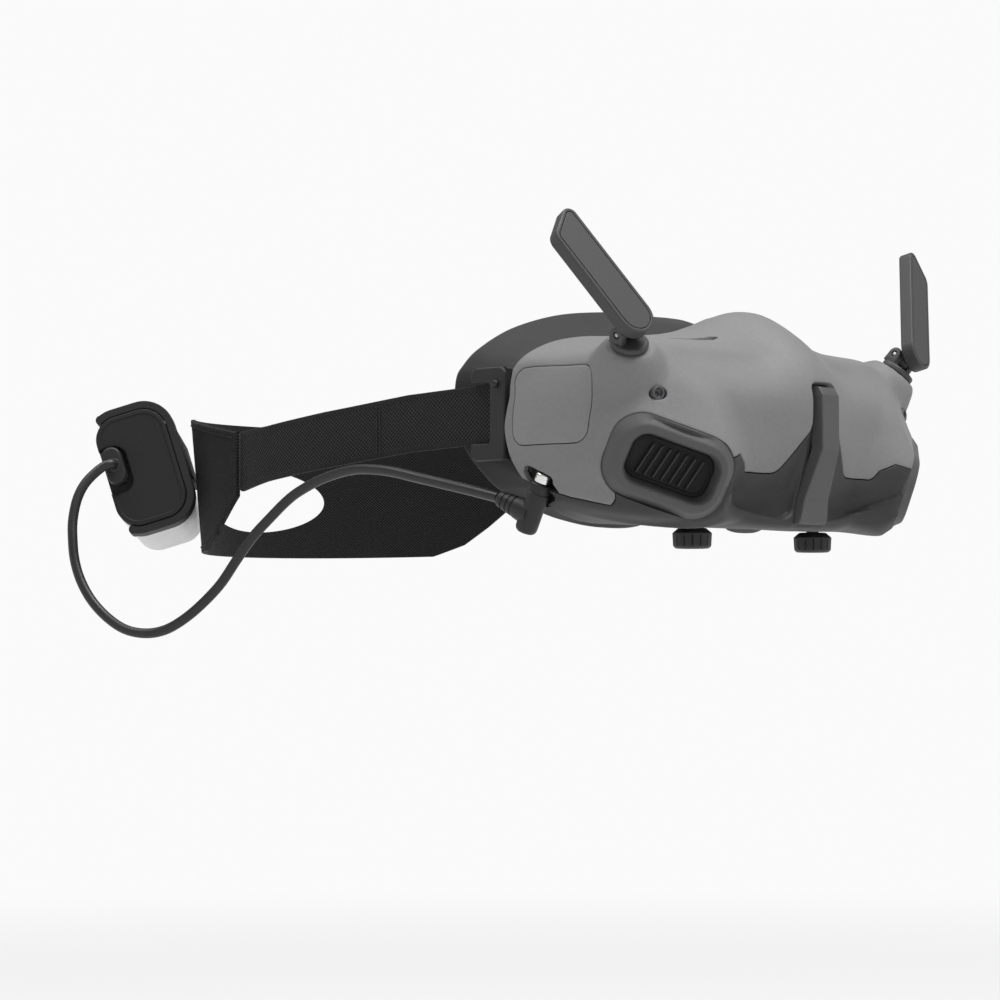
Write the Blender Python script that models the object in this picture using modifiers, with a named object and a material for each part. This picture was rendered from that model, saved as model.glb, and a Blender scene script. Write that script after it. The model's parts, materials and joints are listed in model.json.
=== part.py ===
"""FPV goggles: head-worn video goggles with folding antennas, lens carriages, strap, battery and power lead.

Frame: +X is the wearer's left, -Y is forward, +Z is up. The origin is the middle of the face seal.
Every dimension below is in millimetres; objects are built in metres (MM).
"""

import math

import bmesh
import bpy
import numpy as np
from mathutils import Matrix, Vector

MM = 0.001
GAP = 0.35  # clearance between neighbouring pieces
SHELL_T = 2.0  # wall of the front and lower shells
STRAP_T = 1.6  # webbing thickness
STRAP_W = 19.4  # webbing width
LENS_X, LENS_Z = 33.5, -1.0  # half of the interpupillary distance, and eye height
BARREL_R, BARREL_T = 21.0, 1.8
ROD_Y, ROD_Z, ROD_R = -38.5, -26.6, 1.5
KNOB_Y = -45.7
KNOB_R = 6.5
BATTERY = (26.0, 41.0, 73.0)  # thickness, height, length
CORD_D = 3.5

for old in list(bpy.data.objects):
    bpy.data.objects.remove(old, do_unlink=True)

scene = bpy.context.scene
parts = bpy.data.collections.new("fpv_goggles")
helpers = bpy.data.collections.new("cutters")
scene.collection.children.link(parts)
scene.collection.children.link(helpers)


# ---------------------------------------------------------------- materials
def material(name, colour, rough, metal=0.0, transmission=0.0):
    m = bpy.data.materials.new(name)
    m.use_nodes = True
    b = m.node_tree.nodes["Principled BSDF"]
    b.inputs["Base Color"].default_value = (*colour, 1)
    b.inputs["Roughness"].default_value = rough
    b.inputs["Metallic"].default_value = metal
    b.inputs["Transmission Weight"].default_value = transmission
    return m


SHELL = material("shell_grey", (0.20, 0.20, 0.205), 0.62)
DARK = material("shell_charcoal", (0.045, 0.045, 0.047), 0.58)
ANT = material("antenna_charcoal", (0.075, 0.075, 0.078), 0.5)
RUBBER = material("seal_rubber", (0.05, 0.05, 0.052), 0.85)
WEB = material("strap_webbing", (0.03, 0.03, 0.032), 0.9)
BLACK = material("black_plastic", (0.02, 0.02, 0.021), 0.5)
BATT = material("battery_grey", (0.42, 0.42, 0.43), 0.45)
METAL = material("metal", (0.6, 0.6, 0.6), 0.3, 1.0)
BOARD = material("board_green", (0.02, 0.09, 0.04), 0.5)
GLASS = material("glass", (0.6, 0.65, 0.7), 0.05, 0.0, 0.8)
CORD = material("cord_black", (0.02, 0.02, 0.02), 0.4)


# ---------------------------------------------------------------- helpers
def add(name, mesh, mat, matrix=None, where=parts):
    o = bpy.data.objects.new(name, mesh)
    where.objects.link(o)
    if mat is not None:
        mesh.materials.clear()
        mesh.materials.append(mat)
    if matrix is not None:
        o.matrix_world = matrix
    return o


def from_bmesh(bm, name):
    me = bpy.data.meshes.new(name)
    bmesh.ops.recalc_face_normals(bm, faces=bm.faces)
    bm.to_mesh(me)
    bm.free()
    return me


def smooth(o, angle=40):
    o.data.shade_smooth()
    o.data.set_sharp_from_angle(angle=math.radians(angle))
    return o


def frame_of(origin, x, y, z):
    """Matrix whose columns are the unit axes, placed at origin (mm)."""
    m = Matrix.Identity(4)
    for i, a in enumerate((x, y, z)):
        a = Vector(a).normalized()
        m[0][i], m[1][i], m[2][i] = a
    m.translation = Vector(origin) * MM
    return m


def box(name, lo, hi, mat, bevel=0.0, matrix=None, where=parts):
    """Block between two corners (mm), in the frame of matrix when one is given."""
    bm = bmesh.new()
    bmesh.ops.create_cube(bm, size=1.0)
    for v in bm.verts:
        v.co = Vector([(lo[i] + (hi[i] - lo[i]) * (v.co[i] + 0.5)) * MM for i in range(3)])
    o = add(name, from_bmesh(bm, name), mat, matrix, where)
    if bevel:
        b = o.modifiers.new("bevel", "BEVEL")
        b.width, b.segments = bevel * MM, 2
    return o


def cylinder(name, r, z0, z1, mat, matrix, n=24, r2=None, where=parts):
    bm = bmesh.new()
    bmesh.ops.create_cone(
        bm, cap_ends=True, segments=n, radius1=r * MM, radius2=(r if r2 is None else r2) * MM, depth=(z1 - z0) * MM
    )
    bmesh.ops.translate(bm, verts=bm.verts, vec=(0, 0, (z0 + z1) / 2 * MM))
    return smooth(add(name, from_bmesh(bm, name), mat, matrix, where))


def turned(name, profile, mat, matrix, steps=32, ring=False):
    """Profile of (radius, height), outer side first and downwards, spun about local Z."""
    bm = bmesh.new()
    vs = [bm.verts.new((r * MM, 0, z * MM)) for r, z in profile]
    for a, b in zip(vs, vs[1:] + (vs[:1] if ring else [])):
        if a is not b:
            bm.edges.new((a, b))
    me = bpy.data.meshes.new(name)
    bm.to_mesh(me)
    bm.free()
    o = add(name, me, mat, matrix)
    s = o.modifiers.new("turn", "SCREW")
    s.angle, s.screw_offset, s.axis = math.tau, 0, "Z"
    s.steps = s.render_steps = steps
    s.use_merge_vertices, s.merge_threshold = True, 1e-5
    return o


def outline(name, loops, depth, mat, matrix, where=parts, as_mesh=False):
    """Flat outline with holes: 2D curve of closed loops (mm), extruded +-depth/2 along local Z."""
    cu = bpy.data.curves.new(name, "CURVE")
    cu.dimensions, cu.fill_mode, cu.extrude = "2D", "BOTH", depth / 2 * MM
    for loop in loops:
        sp = cu.splines.new("POLY")
        sp.points.add(len(loop) - 1)
        for p, (x, y) in zip(sp.points, loop):
            p.co = (x * MM, y * MM, 0, 1)
        sp.use_cyclic_u = True
    o = bpy.data.objects.new(name, cu)
    where.objects.link(o)
    o.matrix_world = matrix
    if not as_mesh:
        cu.materials.append(mat)
        return o
    return curve_to_mesh(o, name, mat, where)


def curve_to_mesh(o, name, mat, where):
    bpy.context.view_layer.update()
    me = bpy.data.meshes.new_from_object(o.evaluated_get(bpy.context.evaluated_depsgraph_get()))
    world = o.matrix_world.copy()
    bpy.data.objects.remove(o, do_unlink=True)
    bm = bmesh.new()
    bm.from_mesh(me)
    bmesh.ops.remove_doubles(bm, verts=bm.verts, dist=1e-6)
    bm.to_mesh(me)
    bm.free()
    me.name = name
    return add(name, me, mat, world, where)


def hide(o):
    o.hide_render = True
    o.display_type = "WIRE"
    return o


def boolean(o, cutter, op="DIFFERENCE"):
    m = o.modifiers.new(op.lower(), "BOOLEAN")
    m.operation, m.object, m.solver = op, hide(cutter), "EXACT"
    return o


def rounded_rect(hx, hy, r, n=5, cx=0.0, cy=0.0):
    pts = []
    for k, (sx, sy) in enumerate(((1, 1), (-1, 1), (-1, -1), (1, -1))):
        for i in range(n + 1):
            a = math.pi / 2 * (k + i / n)
            pts.append((cx + sx * (hx - r) + r * math.cos(a), cy + sy * (hy - r) + r * math.sin(a)))
    return pts


def catmull(points, t):
    """Point at parameter t (0..len-1) on a Catmull-Rom curve through the given points."""
    p = np.asarray(points, float)
    i = int(min(max(math.floor(t), 0), len(p) - 2))
    f = t - i
    a = p[i - 1] if i > 0 else 2 * p[0] - p[1]
    d = p[i + 2] if i + 2 < len(p) else 2 * p[-1] - p[-2]
    b, c = p[i], p[i + 1]
    return 0.5 * (2 * b + (c - a) * f + (2 * a - 5 * b + 4 * c - d) * f * f + (3 * b - a - 3 * c + d) * f**3)


# ---------------------------------------------------------------- the outer surface of the goggles' body
# A net of half-body points: one row per height, from the top rear edge, over the front, to the bottom rear edge;
# each row runs from the middle plane (x = 0) round the side to its rear edge.
NET_X = [
    [0, 6, 13, 21, 32, 44, 54, 62, 69, 74, 78, 80, 81],
    [0, 6, 13, 21, 32, 44, 54, 62, 69.5, 75, 79, 80.8, 81.5],
    [0, 6, 13, 21, 32, 44, 54, 62, 69, 75, 79, 81, 81.8],
    [0, 6, 13, 21, 32, 44, 54, 62.5, 70.5, 76.5, 80.2, 82, 82],
    [0, 6, 13, 21, 32, 44, 54, 63, 71, 78, 81.5, 82.8, 82.2],
    [0, 6, 13, 21, 32, 44, 54, 63, 72, 79.5, 82.5, 83.3, 82.3],
    [0, 6, 13, 21, 32, 44, 54, 63, 72, 80, 83, 83.5, 82.2],
    [0, 6, 13, 21, 32, 44, 54, 62, 71, 78, 81.5, 82.3, 81.8],
    [0, 6, 13, 21, 32, 44, 54, 62, 70, 76, 79.5, 80.7, 80.8],
    [0, 6, 13, 21, 32, 44, 54, 62, 68, 73, 76.5, 78.5, 79.5],
]
NET_Y = [
    [-31, -30.5, -28, -25.5, -23.5, -20, -19, -18, -16.5, -14.5, -12.5, -10.5, -9],
    [-45, -44, -41, -38, -36, -34, -32, -30, -27, -23, -18.5, -13.5, -8.8],
    [-60, -59.5, -58, -56.5, -53.5, -51.5, -50.5, -48.5, -45, -38, -29, -18, -8.5],
    [-71, -70.3, -67.3, -63.5, -60.5, -59, -58, -56.5, -52, -43.5, -31, -19, -8.3],
    [-76, -75.5, -73.2, -70.8, -68.5, -67, -65, -61.5, -56.5, -46.5, -33, -19, -7.2],
    [-76, -75.6, -73.6, -71.2, -69.5, -68.5, -67.5, -64, -57.5, -46.5, -33, -19, -6.5],
    [-74, -73.4, -71.6, -69.5, -68.5, -68.5, -68, -64.5, -57.5, -46.5, -33, -19, -8.5],
    [-70.5, -69.6, -67, -65.2, -64.5, -64.5, -64.5, -62, -54.5, -45, -33, -21, -12.5],
    [-66.5, -66, -65, -63.5, -60.5, -58.5, -58, -56, -50, -42.5, -33, -24, -16.5],
    [-48, -44, -36, -28, -24, -22, -22, -22, -22, -22, -21, -20, -19],
]
NET_Z = [
    [37, 36.5, 33.5, 31, 29.5, 28.5, 28, 27, 25.5, 23.5, 21, 18.5, 16],
    [38, 37.5, 35, 31, 28.5, 27.5, 27, 26.5, 25, 22.5, 19.5, 17, 13.5],
    [30.5, 29.5, 26.5, 25.5, 25, 25, 25, 24.5, 23, 20, 16.5, 14, 10.5],
    [20, 19.5, 19, 18.5, 18, 18, 18, 18, 17, 14.5, 11.5, 9, 6.5],
    [9, 9, 8.5, 8, 8, 8, 8, 8, 7.5, 6, 4.5, 3.5, 2],
    [-3, -3, -3, -3, -3, -3, -3, -3.5, -4, -4, -4, -4, -4],
    [-14, -14, -15, -16, -16, -15, -14, -14, -14, -13.5, -13, -12.5, -12],
    [-25, -26, -26.5, -26.5, -26, -25, -25, -25, -24, -22.5, -21, -20, -18.5],
    [-35.5, -35.5, -35.5, -35.3, -34.6, -34.2, -34, -33.5, -32, -30, -27.5, -25.5, -23.5],
    [-28, -30, -32.5, -34, -34, -34, -34, -33.5, -32.5, -31, -29, -27, -25.5],
]
S_MAX, T_MAX = 12, 9


def mirrored(rows, sign):
    a = np.asarray(rows, float)
    return np.concatenate([sign * a[:, :0:-1], a], axis=1)


NET = np.stack([mirrored(NET_X, -1), mirrored(NET_Y, 1), mirrored(NET_Z, 1)], axis=-1)

# Antenna seats: a flat round boss on each upper outer corner, facing up, out and forward.
SEAT = Vector((74.2, -52.4, 21.2))
SEAT_N = Vector((0.42, -0.46, 0.785)).normalized()

# Air vents: each sits on a pod that stands out of the shell's lower outer corner.
VENT = Vector((65.4, -64.2, -18.6))
VENT_TILT, VENT_ROLL = math.radians(16), math.radians(19.5)
VENT_HX, VENT_HY, VENT_R = 14.9, 8.25, 5.5  # half sizes and corner radius of the opening


def vent_axes(side):
    a = math.radians(41.5)
    n = Vector((side * math.sin(a) * math.cos(VENT_TILT), -math.cos(a) * math.cos(VENT_TILT), -math.sin(VENT_TILT)))
    tang = Vector((-side * math.cos(a), -math.sin(a), 0))
    down = n.cross(tang) * (1 if n.cross(tang).z < 0 else -1)
    e1 = tang * math.cos(VENT_ROLL) + down * math.sin(VENT_ROLL)
    return e1, n.cross(e1), n


def raise_pods(p):
    """Lifts points near a vent to a cone that falls away from the vent's rim."""
    side = np.where(p[..., 0] < 0, -1.0, 1.0)
    q = p.copy()
    q[..., 0] = np.abs(q[..., 0])
    e1, e2, n = (np.array(a) for a in vent_axes(1))
    rel = q - np.array(VENT)
    u, v, h = rel @ e1, rel @ e2, rel @ n
    dx, dy = np.abs(u) - (VENT_HX - VENT_R), np.abs(v) - (VENT_HY - VENT_R)
    d = np.hypot(np.maximum(dx, 0), np.maximum(dy, 0)) + np.minimum(np.maximum(dx, dy), 0) - VENT_R
    cone = -2.9 - 0.85 * np.maximum(d - 5.7, 0)
    k = 2.4
    blend = np.clip(0.5 + (cone - h) / (2 * k), 0, 1)
    lift = np.where(h > -16, h + (cone - h) * blend + k * blend * (1 - blend) - h, 0.0)
    q = q + lift[..., None] * n
    q[..., 0] *= side
    return q


def weights(f):
    return np.stack([
        -0.5 * f + f * f - 0.5 * f**3,
        1 - 2.5 * f * f + 1.5 * f**3,
        0.5 * f + 2 * f * f - 1.5 * f**3,
        -0.5 * f * f + 0.5 * f**3,
    ], axis=-1)


def surface(s, t):
    """Points (mm) of the body's outer surface at s (-12..12, across) and t (0..9, top to bottom)."""
    s = np.clip(np.asarray(s, float), -S_MAX, S_MAX) + S_MAX
    t = np.clip(np.asarray(t, float), 0, T_MAX)
    net = np.pad(NET, ((1, 1), (1, 1), (0, 0)), mode="edge")
    net[0], net[-1] = 2 * net[1] - net[2], 2 * net[-2] - net[-3]
    net[:, 0], net[:, -1] = 2 * net[:, 1] - net[:, 2], 2 * net[:, -2] - net[:, -3]
    i = np.minimum(s.astype(int), 2 * S_MAX - 1)
    j = np.minimum(t.astype(int), T_MAX - 1)
    ws, wt = weights(s - i), weights(t - j)
    out = np.zeros(s.shape + (3,))
    for a in range(4):
        for b in range(4):
            out += (wt[..., a] * ws[..., b])[..., None] * net[j + a, i + b]
    side = np.where(out[..., 0] < 0, -1.0, 1.0)
    n = np.stack([side * SEAT_N.x, np.full_like(side, SEAT_N.y), np.full_like(side, SEAT_N.z)], -1)
    rel = out - np.stack([side * SEAT.x, np.full_like(side, SEAT.y), np.full_like(side, SEAT.z)], -1)
    h = (rel * n).sum(-1)
    r = np.linalg.norm(rel - h[..., None] * n, axis=-1)
    w = np.clip((13.5 - r) / 6.2, 0, 1) * np.clip((20 - np.abs(h)) / 8, 0, 1)
    w = w * w * (3 - 2 * w)
    return raise_pods(out - (h * w)[..., None] * n)


def normal(s, t):
    e = 0.04
    ds = surface(np.asarray(s) + e, t) - surface(np.asarray(s) - e, t)
    dt = surface(s, np.asarray(t) + e) - surface(s, np.asarray(t) - e)
    n = np.cross(dt, ds)
    return n / np.maximum(np.linalg.norm(n, axis=-1, keepdims=True), 1e-9)


GRID_S, GRID_T = np.meshgrid(np.linspace(0, 12, 121), np.linspace(0, 9, 181))
GRID_P = surface(GRID_S, GRID_T)


def locate(p):
    """(s, t) of the surface point nearest to p, for either side."""
    side = -1.0 if p[0] < 0 else 1.0
    q = np.array([abs(p[0]), p[1], p[2]])
    k = np.argmin(((GRID_P - q) ** 2).sum(-1))
    s0, t0 = GRID_S.flat[k], GRID_T.flat[k]
    for step in (0.05, 0.02, 0.008):
        ss, tt = np.meshgrid(s0 + step * np.arange(-3, 4), t0 + step * np.arange(-3, 4))
        ss, tt = np.clip(ss, 0, 12), np.clip(tt, 0, 9)
        k = np.argmin(((surface(ss, tt) - q) ** 2).sum(-1))
        s0, t0 = ss.flat[k], tt.flat[k]
    return side * s0, t0


# Edge between the grey upper shell and the dark lower shell, from the middle to the rear edge of the side.
SPLIT = [
    (0, -76, 13.4), (4.8, -76, 13.4), (6.2, -75.7, 12.6), (6.9, -75.7, 11.2), (7.0, -75.7, 4), (7.0, -75.6, -1.0), (7.9, -75.3, -3.7),
    (13, -73.4, -10), (18.2, -70.8, -16.4), (19.6, -70.4, -17.5), (21.5, -70, -18.1), (34.5, -68.5, -17.8), (36.3, -68.5, -17.0),
    (38.5, -69, -14.8), (46, -68.5, -13.2), (58, -66, -13.5), (70, -58.5, -16.5), (78, -49.5, -22),
    (77.2, -48.5, -27.6), (77.4, -46.5, -30.6), (80.4, -33, -26.6), (81.6, -20, -22.6), (81.9, -11.5, -19.4),
]


def split_line(offset=0.0):
    """The edge as (s, t), moved by offset mm away from the grey shell, from the far right side to the left."""
    half = [locate(p) for p in SPLIT]
    half[-1] = (12.6, half[-1][1] + 0.03)
    half[0] = (0.0, half[0][1])
    line = [(-s, t) for s, t in half[:0:-1]] + half
    if not offset:
        return line
    moved = []
    for k, (s, t) in enumerate(line):
        a, b = line[max(k - 1, 0)], line[min(k + 1, len(line) - 1)]
        e = 0.05
        sc, tc = min(max(s, -11.9), 11.9), min(max(t, 0.1), 8.9)
        ms = np.linalg.norm(surface(sc + e, tc) - surface(sc - e, tc)) / (2 * e) + 1e-6
        mt = np.linalg.norm(surface(sc, tc + e) - surface(sc, tc - e)) / (2 * e) + 1e-6
        dx, dy = (b[0] - a[0]) * ms, (b[1] - a[1]) * mt
        ln = math.hypot(dx, dy)
        moved.append((s - dy / ln * offset / ms, t + dx / ln * offset / mt))
    return moved


def prism(name, loop, w0=-3.0, w1=2.0):
    """Cutter in the flat plane of (s, t): a closed loop extruded in w."""
    bm = bmesh.new()
    f = bm.faces.new([bm.verts.new((x, y, w0)) for x, y in loop])
    top = bmesh.ops.extrude_face_region(bm, geom=[f])["geom"]
    for v in top:
        if isinstance(v, bmesh.types.BMVert):
            v.co.z = w1
    return add(name, from_bmesh(bm, name), None, None, helpers)


def wrapped(name, us, vs, keep, cut, wrap, mat, angle=35):
    """Sheet drawn flat on a grid of us x vs, trimmed to keep and pierced by cut, then laid on a curved form by
    wrap(u, v, w), where w runs from 0 at its face to -1 at its back."""
    bm = bmesh.new()
    rows = []
    for v in vs:
        rows.append([(bm.verts.new((u, v, 0)), bm.verts.new((u, v, -1))) for u in us])
    nu, nv = len(us), len(vs)
    for j in range(nv - 1):
        for i in range(nu - 1):
            a, b, c, d = rows[j][i], rows[j][i + 1], rows[j + 1][i + 1], rows[j + 1][i]
            bm.faces.new((a[0], b[0], c[0], d[0]))
            bm.faces.new((d[1], c[1], b[1], a[1]))
    for j in range(nv - 1):
        for i in (0, nu - 1):
            a, b = rows[j][i], rows[j + 1][i]
            bm.faces.new((a[0], b[0], b[1], a[1]) if i == 0 else (b[0], a[0], a[1], b[1]))
    for i in range(nu - 1):
        for j in (0, nv - 1):
            a, b = rows[j][i], rows[j][i + 1]
            bm.faces.new((b[0], a[0], a[1], b[1]) if j == 0 else (a[0], b[0], b[1], a[1]))
    flat = add(name + "_flat", from_bmesh(bm, name + "_flat"), None, None, helpers)
    tools = []
    for k, loop in enumerate(keep):
        c = prism(f"{name}_keep{k}", loop)
        boolean(flat, c, "INTERSECT")
        tools.append(c)
    for k, loop in enumerate(cut):
        c = prism(f"{name}_cut{k}", loop)
        boolean(flat, c)
        tools.append(c)
    bpy.context.view_layer.update()
    me = bpy.data.meshes.new_from_object(flat.evaluated_get(bpy.context.evaluated_depsgraph_get()))
    for o in (flat, *tools):
        bpy.data.objects.remove(o, do_unlink=True)
    bm = bmesh.new()
    bm.from_mesh(me)
    bmesh.ops.remove_doubles(bm, verts=bm.verts, dist=1e-4)
    bmesh.ops.triangulate(bm, faces=bm.faces, quad_method="SHORT_EDGE")
    co = np.array([v.co[:] for v in bm.verts])
    new = wrap(co[:, 0], co[:, 1], co[:, 2])
    for v, p in zip(bm.verts, new):
        v.co = Vector(p) * MM
    bm.normal_update()
    if bm.calc_volume(signed=True) < 0:
        bmesh.ops.reverse_faces(bm, faces=bm.faces)
    bm.to_mesh(me)
    bm.free()
    me.name = name
    return smooth(add(name, me, mat), angle)


def on_body(thick, sink=None):
    def wrap(s, t, w):
        p, n = surface(s, t), normal(s, t)
        d = w * thick
        if sink is not None:
            d = d - sink(p)
        return p + n * d[:, None]
    return wrap


S_LINES = np.array(sorted({*np.arange(-12, 12.01, 0.75)}))
T_LINES = np.arange(0, 9.01, 0.5)

# ---------------------------------------------------------------- touch panel outline on the right side
touch_yz = rounded_rect(15.8, 13.0, 5.2, 4, -25.9, 3.4)
TOUCH = [locate((-82.5, y, z)) for y, z in touch_yz]
touch_in = rounded_rect(15.3, 12.5, 4.7, 4, -25.9, 3.4)
TOUCH_IN = [locate((-82.5, y, z)) for y, z in touch_in]

grey_loop = split_line() + [(12.6, -0.6), (-12.6, -0.6)]
dark_loop = split_line(0.5) + [(12.8, -0.8), (-12.8, -0.8)]


def strip_sink(p):
    """The dark shell lies lower behind the central bar."""
    x = np.abs(p[:, 0])
    w = np.clip((8.5 - x) / 3.0, 0, 1) * np.clip((p[:, 2] + 36) / 6.0, 0, 1)
    return 2.0 * w


SOCK = Vector((-80.8, -21.6, -21.0))  # mouth of the power socket
AX = Vector((0.0, -0.42, 0.907)).normalized()  # the elbow plug's barrel points up into it
SOCK_SIDE = Vector((0.0, 0.907, 0.42)).normalized()


CAM = Vector((67.9, -59.4, 6.0))  # forward camera


def camera_hole(side):
    ring = [math.tau * k / 16 for k in range(16)]
    return [locate((side * (CAM.x + 2.65 * math.cos(a)), CAM.y + 1.0 + 1.8 * math.cos(a), CAM.z + 2.65 * math.sin(a))) for a in ring]


def relief(to_rear=False):
    """Cut for the plug through both shells, open at their lower edge and, in the dark shell, at its rear edge."""
    up = [locate(SOCK + AX * 3.4 + SOCK_SIDE * w) for w in (9.0, -5.2)]
    low = [(locate(SOCK - AX * 7.0 + SOCK_SIDE * w)[0], 9.8) for w in (-5.2, 9.0)]
    return [(-12.9, up[1][1]), up[1], low[0], (-12.9, 9.8)] if to_rear else up + low


front_shell = wrapped("front_shell", S_LINES, T_LINES, [grey_loop], [TOUCH, relief(), camera_hole(-1), camera_hole(1)], on_body(SHELL_T), SHELL)
lower_shell = wrapped("lower_shell", S_LINES, np.arange(3.0, 9.01, 0.5), [], [dark_loop, relief(True)], on_body(SHELL_T, strip_sink), DARK)
touch_panel = wrapped("touch_panel", S_LINES[S_LINES < -8.2], T_LINES, [TOUCH_IN], [], on_body(1.7), SHELL)

# ---------------------------------------------------------------- air vents
def vent_frame(side):
    e1, e2, n = vent_axes(side)
    return frame_of((side * VENT.x, VENT.y, VENT.z), e1, e2, n)


def shifted(matrix, x=0.0, y=0.0, z=0.0):
    return matrix @ Matrix.Translation(Vector((x, y, z)) * MM)


for side, word in ((-1, "right"), (1, "left")):
    m = vent_frame(side)
    hole = outline(f"vent_hole_{word}", [rounded_rect(VENT_HX + 5.7, VENT_HY + 5.65, 10.6, 6)], 26, None, shifted(m, z=-6), helpers, True)
    boolean(front_shell, hole)
    boolean(lower_shell, hole)
    outline(
        f"vent_bezel_{word}",
        [rounded_rect(VENT_HX + 5.35, VENT_HY + 5.3, 10.3, 6), rounded_rect(VENT_HX - 0.5, VENT_HY - 0.45, 5.0, 5)],
        8.6, DARK, shifted(m, z=-4.5),
    )
    slots = [rounded_rect(1.25, 5.6, 0.9, 2, -10.5 + 3.5 * k, 0) for k in range(7)]
    outline(f"vent_grille_{word}", [rounded_rect(14.0, 7.4, 4.7, 5), *slots], 1.6, BLACK, shifted(m, z=-5.8))

# ---------------------------------------------------------------- forward cameras
for side, word in ((-1, "right"), (1, "left")):
    m = frame_of((side * CAM.x, CAM.y, CAM.z), (1, 0, 0), (0, 0, 1), (0, -1, 0))
    turned(f"front_camera_{word}", [(0, -1.5), (1.3, -1.5), (1.5, 0), (2.1, 0), (2.15, -8), (0, -8)], BLACK, m, 20)
    turned(f"camera_lens_{word}", [(0, -0.35), (0.8, -0.45), (1.05, -0.75), (1.05, -1.2), (0, -1.2)], GLASS, m, 16)

# ---------------------------------------------------------------- central bar
bar_levels = [(11.2, 4.3, -76.0), (8.6, 4.6, -77.7), (-9.5, 4.7, -77.9), (-26.2, 6.7, -71.7), (-32.2, 7.4, -70.9)]


def sunk_y(z):
    s, t = locate((0.0, -74.0, z))
    p = surface(np.array([0.0]), np.array([t]))
    n = normal(np.array([0.0]), np.array([t]))
    q = p - n * strip_sink(p)[:, None]
    return q[0][1]


bm = bmesh.new()
rings = []
for z, hw, yf in bar_levels:
    yb = sunk_y(z) - 0.9
    rings.append([bm.verts.new(Vector(p) * MM) for p in ((-hw, yf, z), (hw, yf, z), (hw, yb, z), (-hw, yb, z))])
for a, b in zip(rings, rings[1:]):
    for i in range(4):
        bm.faces.new((a[i], a[(i + 1) % 4], b[(i + 1) % 4], b[i]))
bm.faces.new(rings[0])
bm.faces.new(rings[-1])
bmesh.ops.triangulate(bm, faces=bm.faces)
central_bar = add("central_bar", from_bmesh(bm, "central_bar"), DARK)

# ---------------------------------------------------------------- rear edge of the body, seal and frame
EDGE = [(0, 0), (1.5, 0), (3, 0), (5, 0), (7, 0), (9, 0), (10.5, 0), (12, 0), (12, 2), (12, 4.5), (12, 7), (12, 9),
        (10.5, 9), (9, 9), (7, 9), (5, 9), (3, 9), (1.5, 9), (0, 9)]
FACE = [(0, 0, 40), (11, 0.3, 40.4), (22, 1, 40.3), (43, 5, 38), (60, 11, 32.5), (70.5, 17, 25), (74.5, 20.5, 19), (75.8, 22, 15),
        (76.3, 22.3, 8), (76.3, 21.5, 0), (75, 18, -9.5), (72, 11, -19), (69, 6, -24), (64.5, -0.5, -28.5), (56, -7, -32.5),
        (42, -12, -35), (24, -15, -34), (12, -21, -26), (0, -26, -16)]


def edge_points(count):
    """Matching points of the shell's rear edge and of the seal's face line, right round (mm)."""
    e = [surface(np.array([s]), np.array([t]))[0] for s, t in EDGE]
    out = []
    for k in range(count):
        u = (len(EDGE) - 1) * k / count
        out.append((catmull(e, u), catmull(FACE, u)))
    last = (np.array(e[-1]), np.array(FACE[-1], float))
    flip = np.array([-1, 1, 1])
    return out + [last] + [(a * flip, b * flip) for a, b in out[:0:-1]]


def inset_loop(points, distance):
    """Closed loop of 3D points moved inwards in the XZ plane."""
    p = np.asarray(points)
    d = np.roll(p, -1, 0) - np.roll(p, 1, 0)
    n = np.stack([d[:, 2], 0 * d[:, 0], -d[:, 0]], -1)
    n /= np.linalg.norm(n, axis=1, keepdims=True)
    centre = np.array([0, 0, 0])
    n *= -np.sign((n * (p - centre)).sum(1).sum())
    return p + n * distance


pairs = edge_points(26)
edge = np.array([a for a, _ in pairs])
face = np.array([b for _, b in pairs])
inset = 2.0 + 2.6 * np.clip((np.abs(edge[:, :1]) - 64) / 12, 0, 1)
outer0 = inset_loop(edge, inset) + [0, 1.4, 0]
inner0 = inset_loop(edge, inset + 3.0) + [0, 1.4, 0]
inner2 = inset_loop(face, 3.0) - [0, 1.2, 0]
mid_o = outer0 * 0.5 + face * 0.5
mid_o = inset_loop(mid_o, 0.8)
mid_i = inset_loop(mid_o, 3.0)
bm = bmesh.new()
columns = []
for k in range(len(pairs)):
    sec = (outer0[k], mid_o[k], face[k], inner2[k], mid_i[k], inner0[k])
    columns.append([bm.verts.new(Vector(p) * MM) for p in sec])
for k in range(len(columns)):
    a, b = columns[k], columns[(k + 1) % len(columns)]
    for i in range(6):
        bm.faces.new((a[i], a[(i + 1) % 6], b[(i + 1) % 6], b[i]))
face_seal = smooth(add("face_seal", from_bmesh(bm, "face_seal"), RUBBER), 50)

frame_loop = inset_loop(edge, 3.4 + 3.4 * np.exp(-((edge[:, :1] / 9) ** 2)) * (edge[:, 2:] < 0))


def frame_y(x, z):
    """Depth of the rear frame: follows the shell's rear edge, smooth in between."""
    d2 = (x[:, None] - edge[None, :, 0]) ** 2 + (z[:, None] - edge[None, :, 2]) ** 2
    w = 1 / (d2 + 30) ** 1.6
    return (w * edge[None, :, 1]).sum(1) / w.sum(1)


def frame_wrap(x, z, w):
    return np.stack([x, frame_y(x, z) - 2.4 + 2.0 * w, z], -1)


eye = [rounded_rect(29.0, 23.4, 21.0, 5, sx * LENS_X * 1.06, -2.0) for sx in (-1, 1)]
rear_frame = wrapped(
    "rear_frame", np.linspace(-84, 84, 25), np.linspace(-40, 40, 13), [[(p[0], p[2]) for p in frame_loop]], eye, frame_wrap, BLACK
)

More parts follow.
